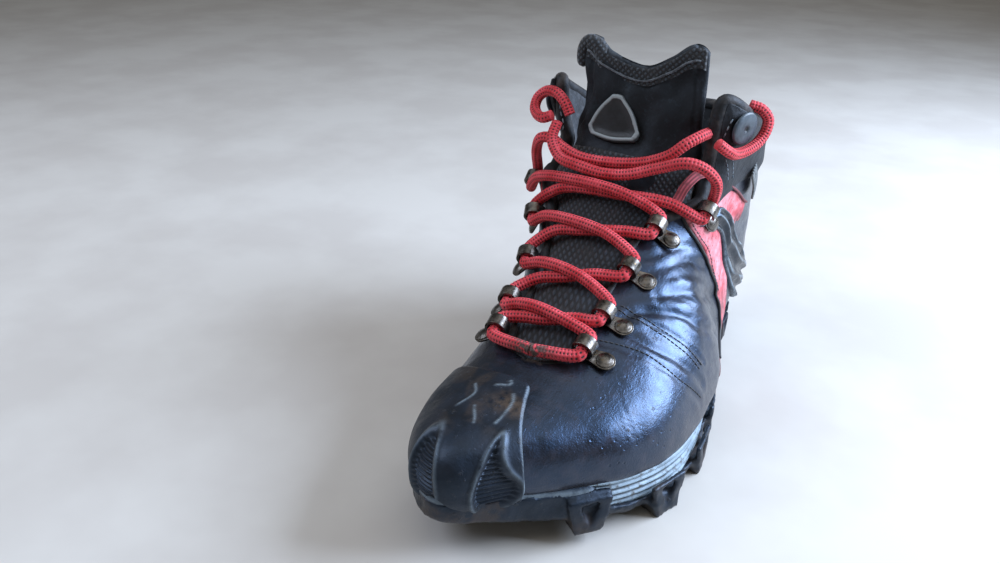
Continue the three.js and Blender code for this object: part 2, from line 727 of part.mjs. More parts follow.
const finish = {
  rubber: new THREE.MeshStandardMaterial({ color: 0x17181b, roughness: 0.62 }),
  foam: new THREE.MeshStandardMaterial({ color: 0x7d8a96, roughness: 0.7 }),
  leather: new THREE.MeshStandardMaterial({ color: 0x241f20, roughness: 0.3 }),
  footbed: new THREE.MeshStandardMaterial({ color: 0x3b3c3f, roughness: 0.95 }),
  nubuck: new THREE.MeshStandardMaterial({ color: 0x1b1a1c, roughness: 0.8 }),
  cage: new THREE.MeshStandardMaterial({ color: 0x26282b, roughness: 0.35 }),
  metal: new THREE.MeshStandardMaterial({ color: 0x6a6358, roughness: 0.4, metalness: 1 }),
  lace: new THREE.MeshStandardMaterial({ color: 0xb5322c, roughness: 0.85 }),
};

const boot = new THREE.Group();
function place(name, solid, material) {
  const mesh = new THREE.Mesh(geometryOf(solid), material);
  mesh.name = name;
  boot.add(mesh);
}

place("outsole", makeOutsole(), finish.rubber);
place("midsole", makeMidsole(), finish.foam);
place("upper", makeUpper(), finish.leather);
place("insole", makeInsole(), finish.footbed);
place("tongue", makeTongue(), finish.nubuck);
place("toe_cap", makeToeCap(), finish.rubber);
place("cage_lateral", makeCage(1), finish.cage);
place("cage_medial", makeCage(-1), finish.cage);
hardwareRows.forEach((row, index) => {
  const hooked = index > 3;
  const kind = hooked ? "hook" : "eyelet";
  place(`${kind}_lateral_${index + 1}`, makeEyelet(row, 1, hooked), finish.metal);
  place(`${kind}_medial_${index + 1}`, makeEyelet(row, -1, hooked), finish.metal);
});
place("stud_lateral_6", makeStud(1), finish.nubuck);
place("stud_medial_6", makeStud(-1), finish.nubuck);
place("lace_bar_1", makeLaceBar(), finish.lace);
for (let index = 0; index < 4; index++) {
  place(`lace_cross_${index + 1}`, makeCrossing(index), finish.lace);
}
place("lace_cross_5", makeSlackStrands(), finish.lace);
for (const [side, points] of Object.entries(loopRoutes)) {
  place(`lace_end_${side}`, tube(route(points), laceRadius, 14), finish.lace);
}

export default boot;
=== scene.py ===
import math
import bmesh
import bpy
import numpy as np
from mathutils import Matrix, Vector


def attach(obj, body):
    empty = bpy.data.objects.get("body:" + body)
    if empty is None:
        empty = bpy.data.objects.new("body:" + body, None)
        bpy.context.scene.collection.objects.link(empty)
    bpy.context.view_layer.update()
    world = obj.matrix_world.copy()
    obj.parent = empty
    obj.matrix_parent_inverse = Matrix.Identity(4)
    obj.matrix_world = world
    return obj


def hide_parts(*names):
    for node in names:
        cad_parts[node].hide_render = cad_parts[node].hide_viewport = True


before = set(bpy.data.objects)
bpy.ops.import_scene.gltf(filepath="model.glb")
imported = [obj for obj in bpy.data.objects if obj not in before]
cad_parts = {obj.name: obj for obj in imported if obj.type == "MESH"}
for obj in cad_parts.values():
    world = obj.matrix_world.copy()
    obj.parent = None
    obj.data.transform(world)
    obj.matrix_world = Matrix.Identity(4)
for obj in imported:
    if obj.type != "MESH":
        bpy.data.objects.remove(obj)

# A mid-cut walking boot for the left foot. Lengths are in millimetres until a mesh is made.
# +Z up, toe towards -Y, outer side towards +X; u is a distance forward of the back of the heel.
mm = 0.001
boot = dict(length=300, ball=112, instep=97, heel=74, collar=140, flap=168, tongue=186,
            wall=2.8, collarWall=6, gap=0.35, lace=3.1)
heelBack = boot["length"] / 2
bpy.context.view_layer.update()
pi = math.pi

# ---- camera

view = dict(place=(0.1367, -0.3768, 0.270), turn=28.4, pitch=26.25, roll=1.2, lens=29.88, sensor=36)


def addCamera():
    data = bpy.data.cameras.new("camera")
    data.lens = view["lens"]
    data.sensor_width = view["sensor"]
    camera = bpy.data.objects.new("camera", data)
    bpy.context.scene.collection.objects.link(camera)
    turn, pitch, roll = (math.radians(view[k]) for k in ("turn", "pitch", "roll"))
    spins = ((turn, "Z"), (pi / 2 - pitch, "X"), (roll, "Z"))
    camera.matrix_world = Matrix.Translation(view["place"])
    for angle, axis in spins:
        camera.matrix_world = camera.matrix_world @ Matrix.Rotation(angle, 4, axis)
    bpy.context.scene.camera = camera


addCamera()
print("camera set")

# ---- the last: sections through the boot, as smooth functions of station and turn

bootLength, collarHeight, flapTop = boot["length"], boot["collar"], boot["flap"]


def scaled(rows, up, side):
    return np.array(rows) * ([1, bootLength, up, bootLength, up, side, side] + [1] * 7)


# station; rear u and z, front u and z, outer x and inner x, all as shares of the boot's sizes; widest share;
# roundness low and top; x of the front and the rear point; outward spread of the outer and the inner flap
foreRows = [
    [0.0, 1, 0.27, 1, 0.66, 0.05, -0.41, 0.45, 2.8, 2.2, -14, -14, 0, 0],
    [0.08, 0.937, 0.25, 0.937, 0.64, 0.17, -0.44, 0.42, 3.0, 2.2, -13, -12, 0, 0],
    [0.16, 0.867, 0.23, 0.867, 0.64, 0.32, -0.44, 0.38, 3.3, 2.2, -11, -8, 0, 0],
    [0.24, 0.787, 0.21, 0.787, 0.67, 0.46, -0.43, 0.33, 3.6, 2.2, -8, -2, 0, 0],
    [0.32, 0.693, 0.19, 0.693, 0.77, 0.55, -0.42, 0.3, 3.8, 2.2, -6, 3, 0, 0],
    [0.4, 0.587, 0.19, 0.587, 0.9, 0.56, -0.39, 0.29, 3.8, 2.2, -8, 6, 0, 4],
    [0.48, 0.467, 0.2, 0.507, 1.03, 0.54, -0.36, 0.3, 3.8, 2.5, -11, 7, 0, 10],
]
heelRows = [
    [0.56, 0.333, 0.22, 0.453, 1.15, 0.66, -0.47, 0.33, 3.6, 2.8, -14, 5, 0, 20],
    [0.64, 0.2, 0.25, 0.413, 1.28, 0.6, -0.46, 0.38, 3.4, 3.2, -14, 4, 4, 30],
    [0.7, 0.1, 0.27, 0.393, 1.38, 0.575, -0.48, 0.43, 3.1, 3.3, -13, 4, 5, 28],
    [0.745, 0.03, 0.3, 0.38, 1.45, 0.565, -0.52, 0.47, 2.8, 3.3, -12, 4, 4, 24],
    [0.785, 0.004, 0.46, 0.373, 1.52, 0.57, -0.57, 0.52, 2.5, 3.3, -11, 4, 3, 19],
]
shaftRows = [
    [0.86, 0.004, 0.6, 0.37, 1.1, 0.585, -0.68, 0.6, 2.3, 3.2, -11, 4, 2, 16],
    [0.93, 0.02, 0.83, 0.367, 1.15, 0.61, -0.79, 0.66, 2.3, 3.0, -11, 3, 0, 9],
    [1.0, 0.013, 1.13, 0.363, 1.25, 0.64, -0.87, 0.68, 2.3, 2.9, -11, 2, 0, 4],
    [1.1, 0.007, 1.36, 0.36, 1.43, 0.66, -0.88, 0.68, 2.3, 2.8, -11, 2, 0, 2],
]
lastRows = np.concatenate([scaled(foreRows, boot["instep"], boot["ball"]),
                           scaled(heelRows, boot["instep"], boot["heel"]),
                           scaled(shaftRows, collarHeight, boot["heel"])])
toeStart, toeX, toeZ = 0.717 * bootLength, -14, 40


def smooth(rows, t):
    # value of a table at t, its slopes taken from the neighbouring rows
    rows = np.asarray(rows, float)
    t = np.atleast_1d(np.asarray(t, float))
    last = len(rows) - 1
    i = np.clip(np.searchsorted(rows[:, 0], t, side="right") - 1, 0, last - 1)
    low, high = rows[i], rows[i + 1]
    before, after = rows[np.maximum(i - 1, 0)], rows[np.minimum(i + 2, last)]
    step = (high[:, :1] - low[:, :1])
    k = (t[:, None] - low[:, :1]) / step
    leave = (high - before)[:, 1:] / (high - before)[:, :1] * step
    arrive = (after - low)[:, 1:] / (after - low)[:, :1] * step
    return ((2 * k**3 - 3 * k**2 + 1) * low[:, 1:] + (k**3 - 2 * k**2 + k) * leave
            + (3 * k**2 - 2 * k**3) * high[:, 1:] + (k**3 - k**2) * arrive)


def smoothStep(v, low, high):
    k = np.clip((v - low) / (high - low), 0, 1)
    return k * k * (3 - 2 * k)


def alike(*values):
    return np.broadcast_arrays(*(np.atleast_1d(np.asarray(v, float)) for v in values))


def skin(station, turn, out=0.0):
    # turn is 0 on the instep line, a quarter turn at the outer side and half a turn under the sole
    station, turn, out = alike(station, turn, out)
    (rearU, rearZ, frontU, frontZ, outer, inner, widest, lowRound, topRound, frontX, rearX,
     outerSpread, innerSpread) = smooth(lastRows, station).T
    toe = np.clip(((rearU + frontU) / 2 - toeStart) / (bootLength - toeStart), 0, 1)
    narrow = (1 - toe**2.5) ** (1 / 2.2)
    outer, inner, frontX, rearX = (toeX + (v - toeX) * narrow for v in (outer, inner, frontX, rearX))
    frontZ = toeZ + (frontZ - toeZ) * (1 - toe**3.2) ** (1 / 2.2)
    rearZ = toeZ + (rearZ - toeZ) * (1 - toe**6) ** (1 / 3)
    rise = np.maximum(1e-6, np.hypot(frontU - rearU, frontZ - rearZ))
    ahead, up = (frontU - rearU) / rise, (frontZ - rearZ) / rise
    cos, sin = np.cos(turn), np.sin(turn)
    power = 2 / np.where(cos >= 0, topRound, lowRound)
    proud = out * np.minimum(1, 2.5 * narrow)  # at the toe's tip the skin faces forward
    reach = np.maximum(0.02, np.where(cos >= 0, 1 - widest, widest) * rise + proud)
    along = np.sign(cos) * reach * np.abs(cos) ** power + widest * rise
    share = np.clip(along / rise, 0, 1)
    middle = rearX + (frontX - rearX) * widest
    spread = np.where(sin >= 0, outerSpread, innerSpread) * smoothStep(share, widest, 1)
    half = np.maximum(0.02, np.where(sin >= 0, outer - middle, middle - inner) + spread + proud)
    x = rearX + (frontX - rearX) * share + np.sign(sin) * half * np.abs(sin) ** power
    y = heelBack - (rearU + ahead * along + out * toe**2)
    return np.stack([x, y, rearZ + up * along], -1)


def halve(count, low, high, test, times=24):
    # for count places at once, the furthest value from low towards high at which the test still holds
    low, high = np.full(count, float(low)), np.full(count, float(high))
    for _ in range(times):
        middle = (low + high) / 2
        holds = test(middle)
        low, high = np.where(holds, middle, low), np.where(holds, high, middle)
    return low


def turnAt(station, x):
    # turn at which the front of a section reaches x
    station, x = alike(station, x)
    side = np.where(x < skin(station, 0)[:, 0], -1, 1)
    return side * halve(len(x), 0, 0.9, lambda turn: (x - skin(station, side * turn)[:, 0]) * side > 0)


coarseStation, coarseTurn = (
    grid.ravel() for grid in np.meshgrid(np.linspace(0.01, 1.08, 90), np.linspace(-pi, pi, 90)))
coarseSkin = skin(coarseStation, coarseTurn)


def settle(points):
    # station and turn of the skin's nearest point to each [x, u, z]
    points = np.array([[x, heelBack - u, z] for x, u, z in points], float)
    nearest = [np.argmin(((coarseSkin - p) ** 2).sum(1)) for p in points]
    station, turn = coarseStation[nearest], coarseTurn[nearest]
    for _ in range(8):
        here = skin(station, turn)
        alongS = (skin(station + 1e-3, turn) - here) / 1e-3
        alongT = (skin(station, turn + 1e-3) - here) / 1e-3
        miss = points - here
        ss, tt, st = (alongS**2).sum(1) + 1, (alongT**2).sum(1) + 1, (alongS * alongT).sum(1)
        bs, bt = (alongS * miss).sum(1), (alongT * miss).sum(1)
        det = np.maximum(ss * tt - st**2, 1e-3)
        station = np.clip(station + np.clip((bs * tt - bt * st) / det, -0.02, 0.02), 0.004, 1.09)
        turn = turn + np.clip((bt * ss - bs * st) / det, -0.1, 0.1)
    return np.stack([station, turn], -1)


def curve(points, count=8, closed=False):
    # smooth line through points, centripetal, count steps a span
    points = np.asarray(points, float)
    if closed:
        padded = np.concatenate([points[-1:], points, points[:2]])
    else:
        padded = np.concatenate([2 * points[:1] - points[1:2], points, 2 * points[-1:] - points[-2:-1]])
    made = []
    for i in range(len(padded) - 3):
        p0, p1, p2, p3 = padded[i:i + 4]
        k1 = max(np.linalg.norm(p1 - p0), 1e-6) ** 0.5
        k2 = k1 + max(np.linalg.norm(p2 - p1), 1e-6) ** 0.5
        k3 = k2 + max(np.linalg.norm(p3 - p2), 1e-6) ** 0.5
        for t in k1 + (k2 - k1) * np.arange(count) / count:
            a1 = p0 * (k1 - t) / k1 + p1 * t / k1
            a2 = p1 * (k2 - t) / (k2 - k1) + p2 * (t - k1) / (k2 - k1)
            a3 = p2 * (k3 - t) / (k3 - k2) + p3 * (t - k2) / (k3 - k2)
            b1 = a1 * (k2 - t) / k2 + a2 * t / k2
            b2 = a2 * (k3 - t) / (k3 - k1) + a3 * (t - k1) / (k3 - k1)
            made.append(b1 * (k2 - t) / (k2 - k1) + b2 * (t - k1) / (k2 - k1))
    if not closed:
        made.append(points[-1])
    return np.array(made)


def evenly(path, step):
    # the same line with points a step apart
    gone = np.concatenate([[0], np.cumsum(np.linalg.norm(np.diff(path, axis=0), axis=1))])
    where = np.linspace(0, gone[-1], max(3, int(round(gone[-1] / step)) + 1))
    return np.stack([np.interp(where, gone, path[:, k]) for k in range(path.shape[1])], -1)


def distanceTo(path, points):
    best = np.full(len(points), 1e9)
    for a, b in zip(path[:-1], path[1:]):
        run = b - a
        share = np.clip(((points - a) @ run) / max(run @ run, 1e-9), 0, 1)
        best = np.minimum(best, ((points - a - share[:, None] * run) ** 2).sum(1))
    return np.sqrt(best)


paramScale = np.array([290.0, 46.0])  # rough millimetres for one unit of station and of turn


def insidePath(path, place):
    # signed distance inside a closed flat path, for params that place() puts on its plane
    path = np.concatenate([path, path[:1]])

    def field(params):
        points = place(params)
        inside = np.zeros(len(points), bool)
        for (ax, ay), (bx, by) in zip(path[:-1], path[1:]):
            if ay != by:
                cross = (ay > points[:, 1]) != (by > points[:, 1])
                inside ^= cross & (points[:, 0] < (bx - ax) * (points[:, 1] - ay) / (by - ay) + ax)
        return np.where(inside, 1, -1) * distanceTo(path, points)

    return field


def insideOf(outline):
    # inside an outline of [x, u, z] points on the skin
    return insidePath(curve(settle(outline), 6, closed=True) * paramScale, lambda params: params * paramScale)


def insideFlat(outline, axes):
    # inside an outline drawn flat on two of the boot's axes, where the skin has its pole: 0 x, 1 u, 2 z
    def place(params):
        points = skin(*params.T)
        points[:, 1] = heelBack - points[:, 1]
        return points[:, axes]

    return insidePath(curve(outline, 6, closed=True), place)


# ---- the edges of the upper

soleHeights = [[0.0, 36], [0.05, 35.5], [0.22, 34], [0.3, 32], [0.4, 29], [0.5, 27], [0.6, 25.5], [0.72, 25],
               [0.8, 26], [0.88, 28], [0.95, 31], [1.0, 33]]
collarRows = [[-20, collarHeight + 4], [8, collarHeight], [38, collarHeight + 1], [66, collarHeight + 9],
              [86, collarHeight + 20], [98, flapTop - 1], [107, flapTop], [114, flapTop - 4],
              [130, flapTop - 16]]
throatStart = 0.262
throatRows = [[0.26, 8, -22], [0.297, 10, -25], [0.352, 10, -29], [0.432, 10, -34], [0.54, 12, -44],
              [0.65, 30, -57], [0.75, 36, -60], [0.91, 39, -62], [1.1, 41, -63]]
throatMiddle = -6


def featherAt(u):
    return smooth(soleHeights, np.clip(u / bootLength, 0, 1))[:, 0]


def collarAt(u):
    return np.interp(u, [r[0] for r in collarRows], [r[1] for r in collarRows])


throatStations = np.linspace(throatStart, 1.08, 140)


def throatTurns(station):
    open_ = np.clip((station - throatStart) / 0.03, 0.02, 1)
    width = np.sqrt(1 - (1 - open_) ** 2)
    edges = smooth(throatRows, station)
    return [turnAt(station, throatMiddle + (edges[:, k] - throatMiddle) * width) for k in (0, 1)]


throatOuterTurn, throatInnerTurn = throatTurns(throatStations)


def throatField(params):
    # positive on the leather, beside and before the throat
    station, turn = params.T
    outer = np.interp(station, throatStations, throatOuterTurn)
    inner = np.interp(station, throatStations, throatInnerTurn)
    beside = np.maximum(turn - outer, inner - turn) * paramScale[1]
    return np.maximum(beside, (throatStart - station) * paramScale[0])


def collarField(params):
    p = skin(*params.T)
    return collarAt(heelBack - p[:, 1]) - p[:, 2]


def featherField(params, lift=0.0):
    p = skin(*params.T)
    return p[:, 2] - featherAt(heelBack - p[:, 1]) - lift


def wallAt(station):
    return boot["wall"] + (boot["collarWall"] - boot["wall"]) * smoothStep(station, 0.6, 0.8)


# ---- creases and wear of the leather, placed in the boot's own sizes

creases = [  # [x, u, z] points, depth, half width
    ([(20, 152, 95), (27, 139, 96), (33, 125, 94), (37, 116, 88)], 0.5, 2.4),
    ([(20, 163, 90), (27, 153, 91), (34, 136, 90), (41, 117, 81)], 0.8, 2.6),
    ([(24, 166, 86), (36, 147, 87), (43, 118, 74)], 0.5, 2.4),
    ([(31, 166, 81), (39, 152, 79), (45, 133, 71), (46, 106, 60)], 1.7, 3.2),
    ([(21, 190, 78), (31, 177, 79), (43, 165, 73), (51, 156, 64), (54, 135, 52)], 1.5, 2.6),
    ([(30, 184, 77), (43, 178, 70), (57, 168, 53)], 0.9, 1.4),
    ([(25, 196, 75), (38, 194, 70), (51, 186, 61), (60, 176, 46)], 1.1, 2.4),
    ([(17, 207, 73), (35, 202, 68), (53, 194, 56), (61, 183, 40)], 0.7, 2.2),
    ([(36, 226, 60), (44, 232, 51), (50, 235, 42)], 0.35, 0.7),
    ([(-40, 160, 88), (-48, 146, 84), (-50, 128, 72)], 1.3, 2.2),
    ([(-36, 176, 82), (-46, 164, 74), (-49, 150, 58)], 1.6, 2.8),
    ([(-32, 192, 76), (-44, 184, 66), (-48, 172, 50)], 1.3, 2.4),
    ([(-44, 150, 92), (-52, 134, 90), (-55, 116, 80)], 1.0, 1.8),
    ([(-30, 206, 71), (-42, 200, 62), (-48, 190, 46)], 0.8, 2.0),
    ([(44, 80, 96), (46, 60, 88), (42, 40, 82)], 0.9, 3.0),
    ([(-46, 84, 98), (-47, 60, 90), (-42, 38, 82)], 0.9, 3.0),
]
creasePaths = [(skin(*curve(settle(points), 6).T), depth, width) for points, depth, width in creases]


def wander(p, size, seed):
    # smooth uneven field of about +-1, from a few crossing waves
    rng = np.random.default_rng(seed)
    total = np.zeros(len(p))
    for _ in range(7):
        way = rng.normal(size=3)
        way /= np.linalg.norm(way)
        total += np.sin(p @ way * 2 * pi / (size * rng.uniform(0.7, 1.5)) + rng.uniform(0, 2 * pi))
    return total / 3.2


def bump(distance, width):
    return np.exp(-(distance / width) ** 2)


fold = dict(reach=5, trough=0.55, ridge=0.3, ridgeAt=2.2)


def relief(params):
    # soft troughs with a ridge along each side, and the slight unevenness of worn leather
    p = skin(*params.T)
    change = 0.35 * wander(p, 46, 3) + 0.12 * wander(p, 15, 4)
    for path, depth, width in creasePaths:
        reach = fold["reach"] * width
        near = np.where(((p > path.min(0) - reach) & (p < path.max(0) + reach)).all(1))[0]
        d = distanceTo(path, p[near]) + 0.5 * width * np.abs(wander(p[near], 14, 5))
        ridge = bump(d - fold["ridgeAt"] * width, width)
        change[near] += depth * (fold["ridge"] * ridge - fold["trough"] * bump(d, width))
    return change


# ---- meshes

def makeObject(name, points, faces, marks=None):
    # points in millimetres; marks are named values for each point, read by the materials
    mesh = bpy.data.meshes.new(name)
    mesh.from_pydata((np.asarray(points) * mm).tolist(), [], [list(map(int, f)) for f in faces])
    for mark, values in (marks or {}).items():
        mesh.attributes.new(mark, "FLOAT", "POINT").data.foreach_set("value", np.asarray(values, np.float32))
    mesh.validate()
    mesh.shade_smooth()
    piece = bpy.data.objects.new(name, mesh)
    bpy.context.scene.collection.objects.link(piece)
    return piece


def finishPiece(piece, material, slot, *replaced):
    piece.data.materials.clear()
    piece.data.materials.append(material)
    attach(piece, "root")
    if replaced:
        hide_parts(*replaced)
    return piece


def sheetOf(stations, turns):
    params = np.stack([grid.ravel() for grid in np.meshgrid(stations, turns, indexing="ij")], -1)
    rows, cols = len(stations), len(turns)
    a = (np.arange(rows - 1)[:, None] * cols + np.arange(cols - 1)).ravel()
    quads = np.stack([a, a + 1, a + cols + 1, a + cols], -1)
    return params, np.concatenate([quads[:, [0, 1, 2]], quads[:, [0, 2, 3]]])


def cutSheet(params, faces, values, keepBoth=False):
    # keeps the faces where the values are positive, with new points along the line between
    inside = values > 0
    count = inside[faces].sum(1)
    kept = [faces[count == 3]]
    if keepBoth:
        kept.append(faces[count == 0])
    added, made, extra = [], {}, []

    def pointOn(a, b):
        key = (min(a, b), max(a, b))
        if key not in made:
            share = values[a] / (values[a] - values[b])
            made[key] = len(params) + len(added)
            added.append(params[a] + (params[b] - params[a]) * share)
        return made[key]

    for face in faces[(count > 0) & (count < 3)]:
        marks = inside[face]
        odd = int(np.argmax(marks)) if marks.sum() == 1 else int(np.argmin(marks))
        a, b, c = (int(v) for v in np.roll(face, -odd))
        p, q = pointOn(a, b), pointOn(a, c)
        if marks.sum() == 1 or keepBoth:
            extra.append((a, p, q))
        if marks.sum() == 2 or keepBoth:
            extra += [(p, b, c), (p, c, q)]
    if extra:
        kept.append(np.array(extra))
        params = np.concatenate([params, np.array(added)])
    faces = np.concatenate(kept)
    used, back = np.unique(faces, return_inverse=True)
    return params[used], back.reshape(faces.shape)


def skinPatch(name, stations, turns, fields, height, edge=1.0, sink=0.4, shape=None, marks=None):
    # a layer of leather, rubber or cloth on the skin: its edges round off and sink into what is below
    params, faces = sheetOf(stations, turns)
    for field in fields:
        params, faces = cutSheet(params, faces, field(params))

    def inset(values):
        return np.min([field(values) for field in fields], axis=0)

    for ring in (0.3, 1.0):  # rows of points where the rounded edge bends
        params, faces = cutSheet(params, faces, inset(params) - ring * edge, keepBoth=True)
    depth = inset(params)
    rise = np.sqrt(np.clip(1 - (1 - np.clip(depth / edge, 0, 1)) ** 2, 0, 1))
    out = relief(params) - sink * (1 - rise) + height * rise
    if shape:
        out = out + shape(params, depth) * rise
    named = {"edge": depth, **(marks(params, depth) if marks else {})}
    return makeObject(name, skin(params[:, 0], params[:, 1], out), faces, named)


def ringsRound(path, radius, around, loop=False):
    # rings of points at the angles around a path, on a steady pair of cross directions
    way = np.roll(path, -1, 0) - np.roll(path, 1, 0) if loop else np.gradient(path, axis=0)
    way /= np.linalg.norm(way, axis=1, keepdims=True)
    side = np.cross(way[0], [0, 0, 1.0])
    if np.linalg.norm(side) < 0.1:
        side = np.cross(way[0], [1.0, 0, 0])
    sides = []
    for w in way:
        side = side - w * (side @ w)
        side = side / np.linalg.norm(side)
        sides.append(side)
    sides = np.array(sides)
    others = np.cross(way, sides)
    spokes = np.cos(around)[:, None] * sides[:, None] + np.sin(around)[:, None] * others[:, None]
    return path[:, None] + radius[..., None] * spokes


def tubeRings(path, radius, sides=12, loop=False):
    radius = np.broadcast_to(radius, len(path))[:, None] * np.ones(sides)
    return ringsRound(path, radius, np.arange(sides) / sides * 2 * pi, loop)


def joinMeshes(name, parts):
    # parts are (points, faces, marks) for one object
    points, faces, marks, start = [], [], {}, 0
    for part in parts:
        p, f = np.asarray(part[0], float).reshape(-1, 3), part[1]
        points.append(p)
        faces += [tuple(int(v) + start for v in face) for face in f]
        for mark, values in (part[2] if len(part) > 2 else {}).items():
            marks.setdefault(mark, []).append(np.asarray(values))
        start += len(p)
    return makeObject(name, np.concatenate(points), faces, {k: np.concatenate(v) for k, v in marks.items()})


def ringFaces(rows, cols, caps=True, loop=False):
    faces = []
    for r in range(rows if loop else rows - 1):
        n = (r + 1) % rows
        faces += [(r * cols + c, r * cols + (c + 1) % cols, n * cols + (c + 1) % cols, n * cols + c)
                  for c in range(cols)]
    if caps and not loop:
        faces += [tuple(range(cols))[::-1], tuple((rows - 1) * cols + c for c in range(cols))]
    return faces


def gridFaces(rows, cols):
    return [(r * cols + c, r * cols + c + 1, (r + 1) * cols + c + 1, (r + 1) * cols + c)
            for r in range(rows - 1) for c in range(cols - 1)]


def rework(piece, change):
    work = bmesh.new()
    work.from_mesh(piece.data)
    change(work)
    work.to_mesh(piece.data)
    work.free()


# ---- materials

def rgb(hexColour):
    parts = [int(hexColour[i:i + 2], 16) / 255 for i in (1, 3, 5)]
    return tuple(v / 12.92 if v <= 0.04045 else ((v + 0.055) / 1.055) ** 2.4 for v in parts) + (1.0,)


def add(tree, kind, settings, out=0):
    # a node with its settings: plain values, hex colours, or the sockets of other nodes
    node = tree.nodes.new("ShaderNode" + kind)
    for key, value in settings.items():
        if isinstance(key, str) and hasattr(node, key):
            setattr(node, key, value)
        elif isinstance(value, bpy.types.NodeSocket):
            tree.links.new(value, node.inputs[key])
        else:
            node.inputs[key].default_value = rgb(value) if isinstance(value, str) else value
    return node.outputs[out]


def begin(name, roughness, **settings):
    material = bpy.data.materials.new(name)
    material.use_nodes = True
    tree = material.node_tree
    shader = tree.nodes["Principled BSDF"]
    shader.inputs["Roughness"].default_value = roughness
    for key, value in settings.items():
        shader.inputs[key.replace("_", " ")].default_value = value
    return material, tree, shader, add(tree, "TexCoord", {}, "Object")


def patches(tree, place, size, low=0.4, high=0.6, least=0.0, most=1.0):
    # uneven patches of about size mm
    settings = {"Scale": 1 / (size * mm), "Detail": 4.0, "Roughness": 0.55, "Vector": place}
    return add(tree, "MapRange", {0: add(tree, "TexNoise", settings), 1: low, 2: high, 3: least, 4: most})


def height(tree, place, low, high):
    # 1 at the low height in mm, 0 at the high one
    z = add(tree, "SeparateXYZ", {0: place}, "Z")
    return add(tree, "MapRange", {0: z, 1: high * mm, 2: low * mm})


def valueOf(tree, place, what):
    # a mark of the mesh by its name, uneven patches by (size, low, high), or a socket as it is
    if isinstance(what, str):
        return add(tree, "Attribute", {"attribute_name": what}, "Fac")
    return patches(tree, place, *what) if isinstance(what, tuple) else what


def paint(tree, place, tone, layers):
    # colours laid over the first one, each by the product of its shares
    for colour, *shares in layers:
        shares = [valueOf(tree, place, share) for share in shares]
        for other in shares[1:]:
            shares[0] = add(tree, "Math", {"operation": "MULTIPLY", 0: shares[0], 1: other})
        tone = add(tree, "Mix", {"data_type": "RGBA", 0: shares[0], 6: tone, 7: colour}, 2)
    tree.links.new(tone, tree.nodes["Principled BSDF"].inputs["Base Color"])


def emboss(tree, place, layers):
    # layers of (height, depth in mm), each added on the last
    settings = {}
    for value, depth in layers:
        settings.update({"Strength": 1.0, "Distance": depth * mm, "Height": valueOf(tree, place, value)})
        settings = {"Normal": add(tree, "Bump", settings)}
    tree.links.new(settings["Normal"], tree.nodes["Principled BSDF"].inputs["Normal"])


def polishedLeather():
    # full-grain leather, waxed and worn: a brown-black skin whose polish shows every fold,
    # dulled to a brownish grey by dust above the sole and pitted where it was knocked, with painted shade in
    # the pits
    # painted reflection: the blue specular tint puts a blue light's colour into its highlights
    material, tree, shader, place = begin("leather_full_grain_polished", 0.3, IOR=1.7, Coat_Weight=0.3,
                                          Coat_Roughness=0.24, Specular_Tint=rgb("#93c3ff"))
    worn = add(tree, "MapRange", {0: valueOf(tree, place, "throat"), 1: 2.2, 2: 0.0})
    # pits where it was knocked: sunk by the bump and painted near black as shade
    shadedDents = add(tree, "TexVoronoi", {"Scale": 1 / (4.4 * mm), "Vector": place})
    shadedDents = add(tree, "MapRange", {0: shadedDents, 1: 0.2, 2: 0.12})
    for share in ("knocks", (6, 0.42, 0.55)):
        shadedDents = add(tree, "Math", {"operation": "MULTIPLY", 0: shadedDents, 1: valueOf(tree, place, share)})
    paint(tree, place, "#0c0b0d", [
        ("#1b1717", (26,)),
        ("#272020", (7, 0.52, 0.72)),
        ("#3f362f", height(tree, place, 26, 50), (9, 0.3, 0.62), (40, 0.2, 0.9)),
        ("#6b5d50", worn, (3, 0.35, 0.6)),
        ("#040405", shadedDents)])
    tree.links.new(patches(tree, place, 5, 0.3, 0.75, 0.26, 0.46), shader.inputs["Roughness"])
    # the pores of a hide are 0.2 mm apart, drawn coarser here so that they show
    pores = add(tree, "TexVoronoi", {"Scale": 1 / (0.9 * mm), "Vector": place})
    along = add(tree, "Mapping", {"vector_type": "POINT", "Scale": (1, 0.16, 1), "Vector": place})
    sunk = add(tree, "Math", {"operation": "SUBTRACT", 0: 1.0, 1: shadedDents})
    emboss(tree, place, [(pores, 0.05), ((3.2, 0.2, 0.8), 0.1), (patches(tree, along, 1.6, 0.5, 0.62), 0.035),
                         (sunk, 0.3)])
    return material


def buffedNubuck(name="nubuck_buffed", dark="#0a0a0c", light="#16191d", rubbed="#33383c"):
    # buffed leather: a dull nap, black with a blue cast, rubbed lighter where it folds
    # painted reflection: the pale blue specular tint puts a blue light's colour into its highlights
    material, tree, _, place = begin(name, 0.62, IOR=1.45, Sheen_Weight=0.05, Sheen_Roughness=0.5,
                                          Specular_Tint=rgb("#dbe6f2"))
    edge = add(tree, "MapRange", {0: valueOf(tree, place, "edge"), 1: 2.0, 2: 0.3})
    paint(tree, place, dark, [
        (light, (12, 0.42, 0.66)),
        ("#1f262c", (2.2, 0.55, 0.75)),
        (rubbed, edge, (5, 0.45, 0.6))])
    emboss(tree, place, [((0.8, 0.2, 0.8), 0.06), ((6, 0.2, 0.8), 0.45)])
    return material


def fadedRed():
    # coated synthetic leather, printed red and faded pink by sun, darker along its worn edges
    material, tree, _, place = begin("synthetic_leather_faded_red", 0.5, IOR=1.46)
    edge = add(tree, "MapRange", {0: valueOf(tree, place, "edge"), 1: 2.2, 2: 0.5})
    paint(tree, place, "#c04b55", [
        ("#e2969d", (9, 0.38, 0.66)),
        ("#7c222b", (2.4, 0.55, 0.7)),
        ("#5d161d", edge, (4, 0.3, 0.6)),
        ("#43302c", height(tree, place, 40, 62), (6, 0.35, 0.6))])
    grain = add(tree, "TexVoronoi", {"Scale": 1 / (1.1 * mm), "Vector": place})
    emboss(tree, place, [(grain, 0.05), ((5, 0.2, 0.8), 0.2)])
    return material


